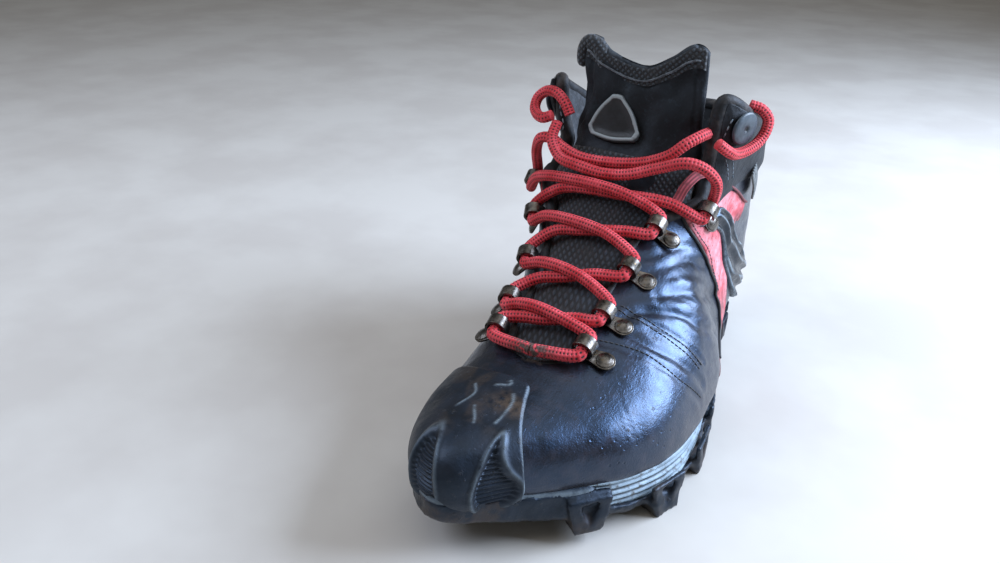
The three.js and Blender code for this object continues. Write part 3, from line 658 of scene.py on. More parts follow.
def mouldedRubber(name="rubber_moulded_black"):
    # carbon-black rubber from a mould: a deep matt black, rubbed smooth and brown on top, dry mud low down
    # painted reflection: the blue specular tint puts a blue light's colour into its highlights
    material, tree, shader, place = begin(name, 0.5, IOR=1.52, Coat_Weight=0.15, Coat_Roughness=0.3,
                                          Specular_Tint=rgb("#a8ccf5"))
    mud = patches(tree, place, 2.6, 0.62, 0.74)
    paint(tree, place, "#0e0f12", [
        ("#1a1b1f", (14,)),
        ("#55432f", "worn", (4, 0.3, 0.55)),
        ("#39322b", height(tree, place, 0, 22), (6, 0.45, 0.62)),
        ("#2a2622", mud),
        # pale blue-grey painted highlight on the toe rubber's raised strips, rims and top edges
        ("#7d8990", "rub", (5, 0.25, 0.5))])
    tree.links.new(patches(tree, place, 8, 0.3, 0.7, 0.36, 0.66), shader.inputs["Roughness"])
    emboss(tree, place, [((1.2, 0.2, 0.8), 0.07), ((5, 0.2, 0.8), 0.2), (mud, 0.2)])
    return material


def mouldedFoam():
    # moulded EVA foam, blue-grey with a satin skin, darkened with painted shade in its grooves
    material, tree, _, place = begin("foam_moulded_blue_grey", 0.5, IOR=1.5)
    paint(tree, place, "#7c8f9d", [
        ("#9fb4c2", (18,)),
        # painted shade in the grooves
        ("#39434c", "groove", (5, 0.2, 0.45)),
        ("#4b4a48", (4, 0.54, 0.7))])
    emboss(tree, place, [((0.9, 0.2, 0.8), 0.05), ((4, 0.3, 0.8), 0.15)])
    return material


def glossyPlastic():
    # moulded TPU with a gloss face, its raised lines and lip painted a pale blue-grey as a highlight
    # painted reflection: the blue specular tint puts a blue light's colour into its highlights
    material, tree, shader, place = begin("plastic_moulded_gloss", 0.3, IOR=1.5, Coat_Weight=0.1,
                                          Specular_Tint=rgb("#a8ccf5"))
    paint(tree, place, "#060709", [
        ("#0e1013", (10,)),
        # painted highlight on the ridge crests and the lip
        ("#8ea0ab", "ridge", (7, 0.25, 0.6)),
        ("#1d1a18", (3, 0.6, 0.72))])
    tree.links.new(patches(tree, place, 4, 0.4, 0.75, 0.26, 0.5), shader.inputs["Roughness"])
    emboss(tree, place, [((2, 0.3, 0.8), 0.05)])
    return material


def softRubber():
    # soft moulded rubber patch with a grey rim, a painted highlight
    material, tree, _, place = begin("rubber_soft_patch", 0.5, IOR=1.5)
    paint(tree, place, "#0c0d10", [("#191b1f", (6,)), ("#9aa3a5", "ridge", (5, 0.1, 0.4))])
    emboss(tree, place, [((1.2, 0.3, 0.8), 0.08)])
    return material


def antiquedMetal():
    # steel plated gunmetal and rubbed through to brass on its high places
    material, tree, shader, place = begin("steel_antique_plated", 0.34, Metallic=1.0)
    paint(tree, place, "#3a3733", [("#827d77", (5, 0.35, 0.7)), ("#6e5c40", (2, 0.62, 0.72))])
    tree.links.new(patches(tree, place, 1.5, 0.3, 0.7, 0.2, 0.46), shader.inputs["Roughness"])
    emboss(tree, place, [((0.9, 0.3, 0.8), 0.03)])
    return material


def braidedLace():
    # polyester braid, crimson with rows of dark flecks, its fuzz pink where light grazes it;
    # the strands are 0.8 mm wide, drawn half as wide again so that they show
    material, tree, _, place = begin("polyester_braid_red", 0.7, IOR=1.5, Sheen_Weight=0.35,
                                          Sheen_Roughness=0.4, Sheen_Tint=rgb("#ff9a94"))
    around, along = (valueOf(tree, place, mark) for mark in ("around", "along"))
    twist = add(tree, "Math", {"operation": "MULTIPLY", 0: along, 1: 2 * pi / 3.4})
    ways = [add(tree, "Math", {"operation": kind, 0: around, 1: twist}) for kind in ("ADD", "SUBTRACT")]
    ways = [add(tree, "Math", {"operation": "SINE", 0: way}) for way in ways]
    weave = add(tree, "Math", {"operation": "MULTIPLY", 0: ways[0], 1: ways[1]})
    paint(tree, place, "#c0212c", [
        ("#df4d57", (9, 0.35, 0.65)),
        ("#1c080b", add(tree, "MapRange", {0: weave, 1: -0.3, 2: -0.7}), (5, 0.25, 0.45)),
        ("#4b3c36", "frayed", (3, 0.42, 0.55))])
    emboss(tree, place, [(add(tree, "MapRange", {0: weave, 1: -0.9, 2: 0.6}), 0.35), ((0.5, 0.2, 0.8), 0.05)])
    return material


def spacerMesh():
    # knitted spacer mesh: crossing yarns stand up round dark holes, 1.6 mm apart; the raised yarns get a
    # painted highlight and the holes painted shade
    material, tree, _, place = begin("polyester_spacer_mesh", 0.8, IOR=1.5, Sheen_Weight=0.3)
    ways = []
    for turn in (1, -1):
        slant = add(tree, "Mapping", {"vector_type": "POINT", "Scale": (turn, 0.2 * turn, 1), "Vector": place})
        wave = {"bands_direction": "DIAGONAL", "Scale": 2 * pi / 20 / (1.6 * mm), "Vector": slant}
        ways.append(add(tree, "TexWave", wave, "Fac"))
    knots = add(tree, "Math", {"operation": "MULTIPLY", 0: ways[0], 1: ways[1]})
    paint(tree, place, "#060709", [
        ("#2f3841", add(tree, "MapRange", {0: knots, 1: 0.08, 2: 0.6})),
        ("#222324", (8, 0.5, 0.75))])
    emboss(tree, place, [(knots, 0.5), ((0.6, 0.2, 0.8), 0.05)])
    return material


def brushedLining():
    # brushed polyester over foam, flattened and greyed by wear
    material, tree, _, place = begin("polyester_brushed_lining", 0.92, IOR=1.5, Sheen_Weight=0.3)
    paint(tree, place, "#16191d", [("#2c333a", (10, 0.35, 0.7)), ("#41454a", (3, 0.52, 0.72))])
    nap = add(tree, "TexVoronoi", {"Scale": 1 / (1.3 * mm), "Vector": place})
    emboss(tree, place, [(nap, 0.12), ((5, 0.2, 0.8), 0.3)])
    return material


def wovenWebbing(name, dark, light):
    # flat nylon webbing with ribs along it, painted lighter on the rib tops and darker between them as
    # highlight and shade
    material, tree, _, place = begin(name, 0.7, IOR=1.53, Sheen_Weight=0.2)
    rib = add(tree, "Math", {"operation": "PINGPONG", 0: valueOf(tree, place, "rib"), 1: 0.5})
    paint(tree, place, dark, [
        (light, add(tree, "MapRange", {0: rib, 1: 0.1, 2: 0.4})),
        (dark, (4, 0.5, 0.7))])
    emboss(tree, place, [(rib, 0.4), ((0.7, 0.2, 0.8), 0.08)])
    return material


def sewingThread(name, tone, light):
    # bonded polyester thread, smooth and a little lighter in places
    material, tree, _, place = begin(name, 0.6, IOR=1.5, Sheen_Weight=0.2)
    paint(tree, place, tone, [(light, (3,))])
    emboss(tree, place, [((0.4, 0.3, 0.7), 0.04)])
    return material


def coatedPad():
    # polyurethane-coated leather pad: smooth slate blue, dull with rubbing, dark with painted shade in its
    # dimple
    material, tree, _, place = begin("leather_coated_slate", 0.42, IOR=1.48)
    paint(tree, place, "#2f3941", [("#4b5760", (7, 0.35, 0.7)), ("#08090a", "dimple")])
    emboss(tree, place, [((2.0, 0.2, 0.8), 0.06), ((6, 0.2, 0.8), 0.25)])
    return material


leather = polishedLeather()
nubuck = buffedNubuck()
bindingNubuck = buffedNubuck("nubuck_binding_worn", "#0f0e0d", "#211e1b", "#3f3934")
redPanel = fadedRed()
rubber = mouldedRubber()
toeRubber = mouldedRubber("rubber_moulded_scuffed")
foam = mouldedFoam()
plastic = glossyPlastic()
patchRubber = softRubber()
metal = antiquedMetal()
braid = braidedLace()
tongueMesh = spacerMesh()
lining = brushedLining()
slatePad = coatedPad()
redWebbing = wovenWebbing("nylon_webbing_red", "#6c1922", "#b94d58")
greyWebbing = wovenWebbing("nylon_webbing_grey", "#1e2124", "#737a79")
blackThread = sewingThread("polyester_thread_black", "#08080a", "#1c1e20")
greyThread = sewingThread("polyester_thread_grey", "#33383e", "#5a6168")
lightThread = sewingThread("polyester_thread_blue_grey", "#5b6c78", "#8d9ca6")
print("materials made")

# ---- upper

fineStations = np.concatenate([0.24 * np.linspace(0, 1, 84) ** 2.2, np.linspace(0.2435, 1.06, 232)])
fineTurns = np.linspace(-pi, pi, 250)


def joinSeam(piece):
    # welds the edges that meet, at the back of the heel or round a pad's rim
    rework(piece, lambda work: bmesh.ops.remove_doubles(work, verts=work.verts, dist=0.02 * mm))
    piece.data.shade_smooth()
    return piece


knockedZone = dict(middle=(46, 232, 48), size=26)


def makeUpperShell():
    params, faces = sheetOf(fineStations, fineTurns)
    for field in (throatField, collarField, lambda q: featherField(q, -2.5)):
        params, faces = cutSheet(params, faces, field(params))
    points = skin(params[:, 0], params[:, 1], relief(params))
    x, u, z = knockedZone["middle"]
    knocks = np.exp(-(((points - [x, heelBack - u, z]) ** 2).sum(1)) / knockedZone["size"] ** 2)
    base = np.where(params[:, 0] < 0.31, throatField(params), 9)
    piece = makeObject("upper_shell", points, faces, {"knocks": knocks, "throat": np.clip(base, 0, 9)})
    return finishPiece(joinSeam(piece), leather, "upper_leather", "upper")


def makeLining():
    params, faces = sheetOf(np.linspace(0.02, 1.06, 120), np.linspace(-pi, pi, 130))
    for field in (throatField, collarField, lambda q: featherField(q, -1.0)):
        params, faces = cutSheet(params, faces, field(params))
    points = skin(params[:, 0], params[:, 1], -wallAt(params[:, 0]) + 0.3 * wander(skin(*params.T), 20, 8))
    piece = makeObject("upper_lining", points, faces[:, ::-1])
    return finishPiece(joinSeam(piece), lining, "insole_fabric")


def openingEdge():
    # station and turn up the throat's outer side, round the collar by the heel, and down the inner side
    def collarStation(turn):
        below = lambda station: collarField(np.stack([station, turn], -1)) > 0
        return halve(len(turn), 0.7, 1.06, below, 26)

    sides = []
    for turns in (throatOuterTurn, throatInnerTurn):
        keep = throatStations < collarStation(turns[-1:])
        sides.append(np.stack([throatStations[keep], turns[keep]], -1))
    around = np.linspace(throatOuterTurn[-1], 2 * pi + throatInnerTurn[-1], 220)[1:-1]
    wrapped = (around + pi) % (2 * pi) - pi
    collar = np.stack([collarStation(wrapped), wrapped], -1)
    return sides[0], collar, sides[1][::-1]


outerSide, collarSide, innerSide = openingEdge()


def edgePath(out):
    parts = [skin(p[:, 0], p[:, 1], -wallAt(p[:, 0]) / 2 + out) for p in (outerSide, collarSide, innerSide)]
    path = evenly(np.concatenate(parts), 1.6)
    for _ in range(5):  # rounds the flap corners
        path[1:-1] = (path[:-2] + 2 * path[1:-1] + path[2:]) / 4
    return path


binding = dict(thin=1.9, padding=1.9, padFrom=84, padTo=118, sides=16)


def makeBinding():
    # a folded strip sewn over the edge, thick where the collar is padded
    path, sides = edgePath(0), binding["sides"]
    padded = smoothStep(path[:, 2], binding["padFrom"], binding["padTo"])
    radius = binding["thin"] + binding["padding"] * padded + 0.12 * wander(path, 22, 9)
    marks = {"edge": np.repeat(1.2 + 0.9 * wander(path, 30, 10), sides)}
    piece = joinMeshes("collar_binding", [(tubeRings(path, radius, sides), ringFaces(len(path), sides), marks)])
    return finishPiece(piece, bindingNubuck, "tongue_nubuck")


makeUpperShell()
makeLining()
makeBinding()
print("upper made")

# ---- overlays on the upper

flap = dict(bottom=112, wave=6, waveLength=26, slope=0.176, slopeFrom=70, height=0.9, puff=1.5)


def shaftField(params):
    # above the ankle: nubuck from the hooks up, lower at the heel
    p = skin(*params.T)
    u = heelBack - p[:, 1]
    drop = flap["slope"] * np.clip(flap["slopeFrom"] - u, 0, flap["slopeFrom"])
    return p[:, 2] - (flap["bottom"] + flap["wave"] * np.sin(u / flap["waveLength"]) - drop)


shaftFields = [shaftField, lambda q: throatField(q) - 1.2, lambda q: collarField(q) - 0.8]


def shaftPadding(params, depth):
    return flap["puff"] * smoothStep(depth, 0, 9) + 0.5 * wander(skin(*params.T), 24, 12)


def onShaft(params):
    # how far the nubuck's face stands off the skin
    return flap["height"] + shaftPadding(params, np.min([field(params) for field in shaftFields], axis=0))


def makeShaftPanel():
    stations, turns = np.linspace(0.62, 1.05, 150), np.linspace(-pi, pi, 230)
    piece = skinPatch("shaft_nubuck", stations, turns, shaftFields, flap["height"], shape=shaftPadding)
    return finishPiece(joinSeam(piece), nubuck, "tongue_nubuck")


redPanelSheet = dict(height=0.7, edge=1.2, besideThroat=2.4)
redOutline = [(20, 119, 118), (26, 121, 108), (30, 120, 101), (36, 116, 92), (41, 111, 80), (46, 104, 66),
              (50, 103, 50), (56, 110, 40), (60, 128, 36), (62, 140, 30), (56, 118, 26), (47, 92, 28),
              (45, 80, 48),
              (44, 76, 72), (43, 64, 86), (43, 52, 98), (41, 76, 112), (37, 91, 120), (30, 102, 124)]


def mirrored(outline, shift=-12):
    # the same piece on the inner side, where the boot is flatter
    return [(-x * 0.98 + shift, u, z) for x, u, z in outline]


def makeRedPanel(side, name):
    outline = redOutline if side > 0 else mirrored(redOutline)
    turns = np.linspace(0.4, 2.9, 150) * side
    fields = [insideOf(outline), lambda q: throatField(q) - redPanelSheet["besideThroat"]]
    piece = skinPatch(name, np.linspace(0.34, 0.95, 150), turns, fields, redPanelSheet["height"],
                      edge=redPanelSheet["edge"])
    return finishPiece(piece, redPanel, "upper_leather")


def skinLine(points, out, step=1.0, loops=False):
    params = curve(settle(points), 8, closed=loops)
    if loops:
        params = np.concatenate([params, params[:1]])
    path = evenly(np.concatenate([skin(params[:, 0], params[:, 1]), params], 1), step)
    params = path[:, 3:]
    return skin(params[:, 0], params[:, 1], (out(params) if callable(out) else out) + relief(params))


def makeTube(name, path, radius, sides, material, slot):
    piece = joinMeshes(name, [(tubeRings(path, radius, sides), ringFaces(len(path), sides))])
    return finishPiece(piece, material, slot)


def piping(name, points, radius, out, material, slot):
    return makeTube(name, skinLine(points, out), radius, 10, material, slot)


def stitchParts(path, pitch=3.0, length=2.1, radius=0.34):
    # lock stitches: short rounded runs of thread along the line
    step, sides = 0.5, 6
    path = evenly(path, step)
    each, run = int(pitch / step), max(4, int(length / step)) + 1
    profile = radius * np.sin(np.linspace(0.25, pi - 0.25, run)) ** 0.5
    return [(tubeRings(path[start:start + run], profile, sides), ringFaces(run, sides))
            for start in range(0, len(path) - run, each)]


def stitches(name, lines, out, material, slot, **kind):
    parts = [part for points in lines for part in stitchParts(skinLine(points, out), **kind)]
    return finishPiece(joinMeshes(name, parts), material, slot)


def webbing(name, points, width, out, material, slot, ribs=3):
    # a flat strap lying on the skin
    params = curve(settle(points), 8)
    both = evenly(np.concatenate([skin(params[:, 0], params[:, 1]), params], 1), 1.2)[:, 3:]
    path = skin(both[:, 0], both[:, 1])
    way = np.gradient(path, axis=0)
    off = skin(both[:, 0], both[:, 1], 2.0) - path
    cross = np.cross(way, off)
    cross /= np.linalg.norm(cross, axis=1, keepdims=True)
    off /= np.linalg.norm(off, axis=1, keepdims=True)
    across = np.linspace(-1, 1, 13)
    lift = out + relief(both)
    rings = []
    for p, c, o, l in zip(path, cross, off, lift):
        ribbed = 0.5 + 0.35 * np.abs(np.sin(ribs * pi * (across + 1) / 2)) * (1 - across**8)
        top = [p + c * width / 2 * k + o * (l + rise) for k, rise in zip(across, ribbed)]
        bottom = [p + c * width / 2 * k + o * (l - 0.6) for k in across[::-1]]
        rings.append(top + bottom)
    rib = np.tile(np.concatenate([across, across[::-1]]) * ribs / 2, len(path))
    piece = joinMeshes(name, [(np.array(rings), ringFaces(len(path), 26), {"rib": rib})])
    return finishPiece(piece, material, slot)


cageOutline = [(34, 117, 103), (37, 106, 103), (40, 96, 108), (41, 84, 103), (42, 72, 94), (43, 66, 84),
               (43, 52, 73), (42, 38, 58), (38, 22, 44), (34, 15, 37), (42, 34, 32), (46, 53, 35),
               (47, 69, 48),
               (47, 79, 62), (46, 87, 74), (45, 90, 84), (43, 94, 92), (39, 103, 98)]
cageSpine = [(38, 108, 100), (42, 93, 90), (45, 82, 72), (45, 62, 56), (40, 40, 44), (36, 24, 39)]
cage = dict(height=2.0, edge=1.2, sink=0.8, pitch=9, ridge=1.2, rise=0.4)


def makeCage(side, name, node):
    outline, spine = (cageOutline, cageSpine) if side > 0 else (mirrored(cageOutline), mirrored(cageSpine))
    middle = curve(settle(spine), 8) * paramScale

    def wave(params):
        d = distanceTo(middle, params * paramScale) + 1.2 * wander(skin(*params.T), 38, 21)
        return np.cos(d * 2 * pi / cage["pitch"])

    def ridges(params, depth):
        # long ridges with a wavy run, and a flat lip round the edge
        return cage["ridge"] * wave(params) * smoothStep(depth, 0.8, 2.6) + cage["rise"]

    # painted highlight: pale along the ridge crests and the lip round the edge
    def rubbed(params, depth):
        crest = 0.6 * smoothStep(wave(params), 0.9, 0.99) * smoothStep(depth, 1, 2.5)
        return {"ridge": np.maximum(crest, 0.8 * bump(depth - 0.9, 0.5))}

    stations, turns = np.linspace(0.5, 0.95, 210), np.linspace(0.9, 3.1, 170) * side
    piece = skinPatch(name, stations, turns, [insideOf(outline)], cage["height"], edge=cage["edge"],
                      sink=cage["sink"], shape=ridges, marks=rubbed)
    return finishPiece(piece, plastic, "cage_plastic", node)


# lines of [x, u, z] points on the skin
frontStrap = [(18, 118, 112), (20, 113, 119), (23, 106, 125), (29, 99, 128)]
rearStrap = [(30, 99, 128), (33, 97, 121), (36, 99, 114)]
outerTab = [(42, 60, 122), (44, 54, 113), (44, 50, 103)]
innerTab = [(-54, 60, 122), (-52, 54, 113), (-49, 50, 103)]
redEdge = [(22, 121, 113), (27, 122, 106), (31, 121, 100), (37, 117, 91), (42, 112, 79), (47, 105, 65),
           (51, 104, 49), (57, 111, 40), (61, 128, 36)]
makeShaftPanel()
makeRedPanel(1, "panel_red_outer")
makeRedPanel(-1, "panel_red_inner")
makeCage(1, "heel_cage_outer", "cage_lateral")
makeCage(-1, "heel_cage_inner", "cage_medial")
webbing("strap_red_front", frontStrap, 5.2, 1.2, redWebbing, "upper_leather")
webbing("strap_red_rear", rearStrap, 5.0, 1.2, redWebbing, "upper_leather")
webbing("pull_tab_outer", outerTab, 9, 3.0, greyWebbing, "cage_plastic", 5)
webbing("pull_tab_inner", innerTab, 9, 1.9, greyWebbing, "cage_plastic", 5)
piping("panel_piping_outer", redEdge, 0.9, 0.5, blackThread, "upper_leather")
piping("panel_piping_inner", mirrored(redEdge), 0.9, 0.5, blackThread, "upper_leather")
topEdge = [(31, 102, 125), (37, 91, 121), (41, 76, 113), (43, 54, 99)]
piping("panel_top_piping", topEdge, 0.7, 1.3, redWebbing, "upper_leather")
print("overlays made")

# ---- toe cap

toeCap = dict(height=2.4, edge=2.2, sink=0.6, hollow=1.5, rib=0.4, ribPitch=1.9, rim=0.7, rimAt=1.1,
              line=0.35)
capPlan = [(-84, 226), (-62, 230), (-44, 235), (-24, 241), (-8, 242.5), (0, 244), (3, 252), (6, 261),
           (10, 270), (14, 276), (18, 277.5), (23, 275), (30, 276), (46, 300), (30, 330), (-80, 330),
           (-100, 280)]
recesses = [  # [x, z] outline of each ribbed hollow, seen from in front
    [(2, 55), (4.5, 50), (7.5, 45), (11.5, 40), (12.5, 36), (8, 31), (0, 29), (-2, 36), (0, 47)],
    [(-26, 52), (-21, 55), (-17, 51), (-15, 45), (-14, 38), (-16, 33), (-24, 33), (-27, 42)],
]
# the strips below are given a pale painted highlight
capLines = [  # short raised wear strips on top
    [(-23, 269, 61), (-19, 260, 63), (-22, 254, 63)],
    [(-13, 252, 65), (-7, 249, 65), (-8, 247, 65)],
    [(-15, 267, 62), (-10, 276, 60)],
    [(-3, 254, 64), (-1, 259, 63), (-1, 265, 62), (-2, 272, 60)],
]


def makeToeCap():
    hollows = [insideFlat(recess, [0, 2]) for recess in recesses]
    lines = [skin(*curve(settle(line), 6).T) for line in capLines]

    def form(params, depth):
        p = skin(*params.T)
        change = 0.3 * wander(p, 34, 30) - 1.1 * smoothStep(-p[:, 0], 8, 36)
        for hollow in hollows:
            inside = smoothStep(hollow(params), -0.4, 1.4)
            ribs = toeCap["rib"] * np.cos(p[:, 2] * 2 * pi / toeCap["ribPitch"])
            change += inside * (ribs - toeCap["hollow"])
            change += toeCap["rim"] * bump(hollow(params) + toeCap["rimAt"], 0.8)
        return change + toeCap["line"] * sum(bump(distanceTo(line, p), 0.6) for line in lines)

    # real scuffs on top, and a painted highlight on the raised strips, round the hollows' rims and along the
    # outer lip
    def worn(params, depth):
        p = skin(*params.T)
        lit = sum(bump(distanceTo(line, p), 0.5) for line in lines)
        scuff = 0.8 * np.exp(-(((p - [-3, heelBack - 261, 63]) / [9, 5, 6]) ** 2).sum(1))
        scuff += 0.25 * smoothStep(p[:, 2], 52, 62) * smoothStep(wander(p, 17, 31), 0, 0.5)
        rims = sum(0.35 * bump(hollow(params) + toeCap["rimAt"], 0.6) for hollow in hollows)
        # a painted highlight along the cap's edge, on the outer side only
        lip = 0.75 * bump(depth - 0.9, 0.45) * (p[:, 0] > 0)
        return {"worn": np.clip(scuff, 0, 1), "rub": np.clip(0.7 * lit + rims + lip, 0, 1)}

    stations = np.concatenate([0.2 * np.linspace(0, 1, 150) ** 2.2, np.linspace(0.202, 0.32, 60)])
    turns = np.linspace(-2.6, 2.3, 300)
    fields = [insideFlat(capPlan, [0, 1]), lambda q: featherField(q, -3.0)]
    piece = skinPatch("toe_bumper", stations, turns, fields, toeCap["height"], edge=toeCap["edge"],
                      sink=toeCap["sink"], shape=form, marks=worn)
    return finishPiece(piece, toeRubber, "outsole_rubber", "toe_cap")


makeToeCap()
print("toe cap made")

# ---- sole

# station, outer and inner edge as shares of the heel's width, and further forward of the ball's
heelEdges = [[0.0, 0.46, -0.38], [0.1, 0.51, -0.43], [0.2, 0.54, -0.43], [0.3, 0.6, -0.4]]
ballEdges = [[0.4, 0.475, -0.27], [0.5, 0.54, -0.31], [0.6, 0.58, -0.38], [0.693, 0.57, -0.425],
             [0.787, 0.475, -0.445], [0.867, 0.34, -0.445], [0.937, 0.18, -0.435], [1.0, 0.05, -0.39]]
soleRows = np.concatenate([np.array(heelEdges) * [1, boot["heel"], boot["heel"]],
                           np.array(ballEdges) * [1, boot["ball"], boot["ball"]]])
soleTops = [[0.0, 12], [0.05, 10], [0.22, 10], [0.3, 12], [0.4, 14], [0.5, 10], [0.6, 10], [0.72, 10],
            [0.8, 13], [0.88, 17], [0.95, 22], [1.0, 26]]
heelRound, heelMiddle = 0.13 * bootLength, 4


def soleEdge(u):
    outer, inner = smooth(soleRows, u / bootLength).T
    toe = np.clip((u - toeStart) / (bootLength + 2 - toeStart), 0, 1)
    narrow = (1 - toe**2.5) ** (1 / 2.2)
    outer, inner = toeX + (outer - toeX) * narrow, toeX + (inner - toeX) * narrow
    heel = np.clip((heelRound - u) / heelRound, 0, 1)
    round_ = (1 - heel**2.3) ** (1 / 2.2)
    return heelMiddle + (outer - heelMiddle) * round_, heelMiddle + (inner - heelMiddle) * round_


def soleOutline(count=420):
    # [x, u] points round the sole, evenly spaced
    u = (bootLength + 2) * 0.5 * (1 - np.cos(pi * np.linspace(0, 1, 300)))
    outer, inner = soleEdge(u)
    ring = np.concatenate([np.stack([outer, u], -1), np.stack([inner, u], -1)[::-1][1:-1]])
    ring = np.concatenate([ring, ring[:1]])
    return evenly(ring, np.linalg.norm(np.diff(ring, axis=0), axis=1).sum() / count)[:-1]


outline = soleOutline()
tangent = np.roll(outline, -1, 0) - np.roll(outline, 1, 0)
outward = np.stack([tangent[:, 1], -tangent[:, 0]], -1)
outward /= np.linalg.norm(outward, axis=1, keepdims=True)
if ((outline - outline.mean(0)) * outward).sum() < 0:
    outward = -outward


def soleTopAt(u):
    return smooth(soleTops, np.clip(u / bootLength, 0, 1))[:, 0]


def inFrame(rings):
    # [x, u, z] points put where the frame has them
    rings = np.array(rings, float)
    rings[..., 1] = heelBack - rings[..., 1]
    return rings


midsole = dict(inset=2.6, bulge=1.0, groove=0.55, groovePitch=3.3, lip=2.2, levels=34, below=1.5, above=0.9)


def makeMidsole():
    # a foam wedge with long grooves round its side
    rings, marks = [], []
    u = outline[:, 1]
    low, high = soleTopAt(u) - midsole["below"], featherAt(u) + midsole["above"]
    rise = high - low
    for level in np.linspace(0, 1, midsole["levels"]):
        z = low + rise * level
        band = smoothStep(level, 0.06, 0.2) * (1 - smoothStep(level, 0.86, 0.97))
        grooved = np.cos((high - z) * 2 * pi / midsole["groovePitch"] + 0.5) * band
        inset = midsole["inset"] - midsole["bulge"] * np.sin(pi * level)
        inset = inset + midsole["groove"] * (1 - grooved) * smoothStep(rise, 3, 8)
        inset = inset + midsole["lip"] * smoothStep(level, 0.93, 1.0) ** 2
        rings.append(np.column_stack([outline - outward * inset[:, None], z]))
        # the groove mark: where the foam gets painted shade
        marks.append(smoothStep(-grooved, 0.2, 0.9))
    faces = ringFaces(midsole["levels"], len(outline))
    piece = joinMeshes("midsole_foam", [(inFrame(rings), faces, {"groove": np.ravel(marks)})])
    return finishPiece(piece, foam, "midsole_foam", "midsole")


rand = dict(lines=((2.9, 1.3, 1.5), (3.6, 3.7, 0.9)), sides=10)  # inset, lift and radius of each


def makeRand():
    # two thin raised lines of rubber where the leather meets the sole
    parts, sides = [], rand["sides"]
    for inset, lift, radius in rand["lines"]:
        path = inFrame(np.column_stack([outline - outward * inset, featherAt(outline[:, 1]) + lift]))
        thin = 1 - 0.95 * smoothStep(heelBack - path[:, 1], 244, 258)  # it runs out under the toe rubber
        rings = tubeRings(path, radius * thin, sides, loop=True)
        parts.append((rings, ringFaces(len(path), sides, loop=True), {"groove": np.zeros(len(path) * sides)}))
    return finishPiece(joinMeshes("rand_lines", parts), foam, "midsole_foam")


toeSkirt = dict(outerStart=246, innerStart=236, runIn=9, inset=0.7, below=2.5, above=2.2, behind=5.5)


def makeToeSkirt():
    # the toe rubber runs on down over the foam to the tread, and ends in a finger on each side
    start = int(np.argmin(outline[:, 1]))
    ring, out = np.roll(outline, -start, 0), np.roll(outward, -start, 0)
    gone = ring[:, 1] - np.where(ring[:, 0] > toeX, toeSkirt["outerStart"], toeSkirt["innerStart"])
    ring, out, gone = ring[gone > 0], out[gone > 0], gone[gone > 0]
    u = ring[:, 1]
    whole = smoothStep(gone, 0, toeSkirt["runIn"])
    low, high = soleTopAt(u) - toeSkirt["below"], featherAt(u) + toeSkirt["above"]
    high = low + (high - low) * (0.25 + 0.75 * whole)
    rings = []
    for level in np.linspace(0, 1, 15):
        round_ = 2.6 * smoothStep(level, 0.72, 1.0) ** 2 + 1.2 * (1 - smoothStep(level, 0, 0.25)) ** 2
        uneven = 0.25 * wander(np.column_stack([ring, u * 0]), 18, 44)
        inset = toeSkirt["inset"] + round_ + 1.2 * (1 - whole) + uneven
        rings.append(np.column_stack([ring - out * inset[:, None], low + (high - low) * level]))
    for level in (1.0, 0.5, 0.0):  # the hidden side
        rings.append(np.column_stack([ring - out * toeSkirt["behind"], low + (high - low) * level]))
    points = inFrame(rings).swapaxes(0, 1)
    # a painted highlight along the skirt's top edge
    lip = np.zeros(points.shape[:2])
    lip[:, 11:13] = 0.6  # the rows along the top edge
    marks = {"worn": np.zeros(lip.size), "rub": lip.ravel()}
    piece = joinMeshes("toe_skirt", [(points, ringFaces(*points.shape[:2]), marks)])
    return finishPiece(piece, toeRubber, "outsole_rubber")


tread = dict(voxel=1.15, relax=0.5, passes=3)


def makeOutsole():
    # the moulded tread, its corners worn round
    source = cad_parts["outsole"]
    piece = bpy.data.objects.new("outsole_tread", source.data.copy())
    bpy.context.scene.collection.objects.link(piece)
    remesh = piece.modifiers.new("skin", "REMESH")
    remesh.mode, remesh.voxel_size, remesh.use_smooth_shade = "VOXEL", tread["voxel"] * mm, True
    relax = piece.modifiers.new("relax", "SMOOTH")
    relax.factor, relax.iterations = tread["relax"], tread["passes"]
    mesh = bpy.data.meshes.new_from_object(piece.evaluated_get(bpy.context.evaluated_depsgraph_get()))
    piece.modifiers.clear()
    piece.data = mesh
    points, normals = (np.empty(len(mesh.vertices) * 3) for _ in range(2))
    mesh.vertices.foreach_get("co", points)
    mesh.vertices.foreach_get("normal", normals)
    points = points.reshape(-1, 3) / mm
    points += normals.reshape(-1, 3) * (0.22 * wander(points, 13, 40) + 0.1 * wander(points, 5, 41))[:, None]
    mesh.vertices.foreach_set("co", (points * mm).ravel())
    worn = 0.4 * smoothStep(wander(points, 25, 42), 0.1, 0.6)
    mesh.attributes.new("worn", "FLOAT", "POINT").data.foreach_set("value", worn.astype(np.float32))
    mesh.shade_smooth()
    return finishPiece(piece, rubber, "outsole_rubber", "outsole")


footbed = dict(inset=7.5, thick=3.7, steps=[
    (0, 0.4), (0, 3.6), (1.2, 4.4), (4, 4.2), (9, 3.9), (16, 3.7), (24, 3.7)])


def makeFootbed():
    # a dished insole, its rings drawn in by (inset, height) steps from the rim to the middle
    ring = outline - outward * footbed["inset"]
    rings = []
    for inset, lift in footbed["steps"]:
        shrunk = ring - outward * inset
        rings.append(np.column_stack([shrunk, featherAt(shrunk[:, 1]) + lift]))
    middle = np.array(rings[-1])
    middle[:, 0] = middle[:, 0].mean() * 0.02 + middle[:, 0] * 0.05
    middle[:, 2] = featherAt(middle[:, 1]) + footbed["thick"]
    rings.append(middle)
    piece = joinMeshes("footbed", [(inFrame(rings), ringFaces(len(rings), len(outline)))])
    return finishPiece(piece, lining, "insole_fabric", "insole")


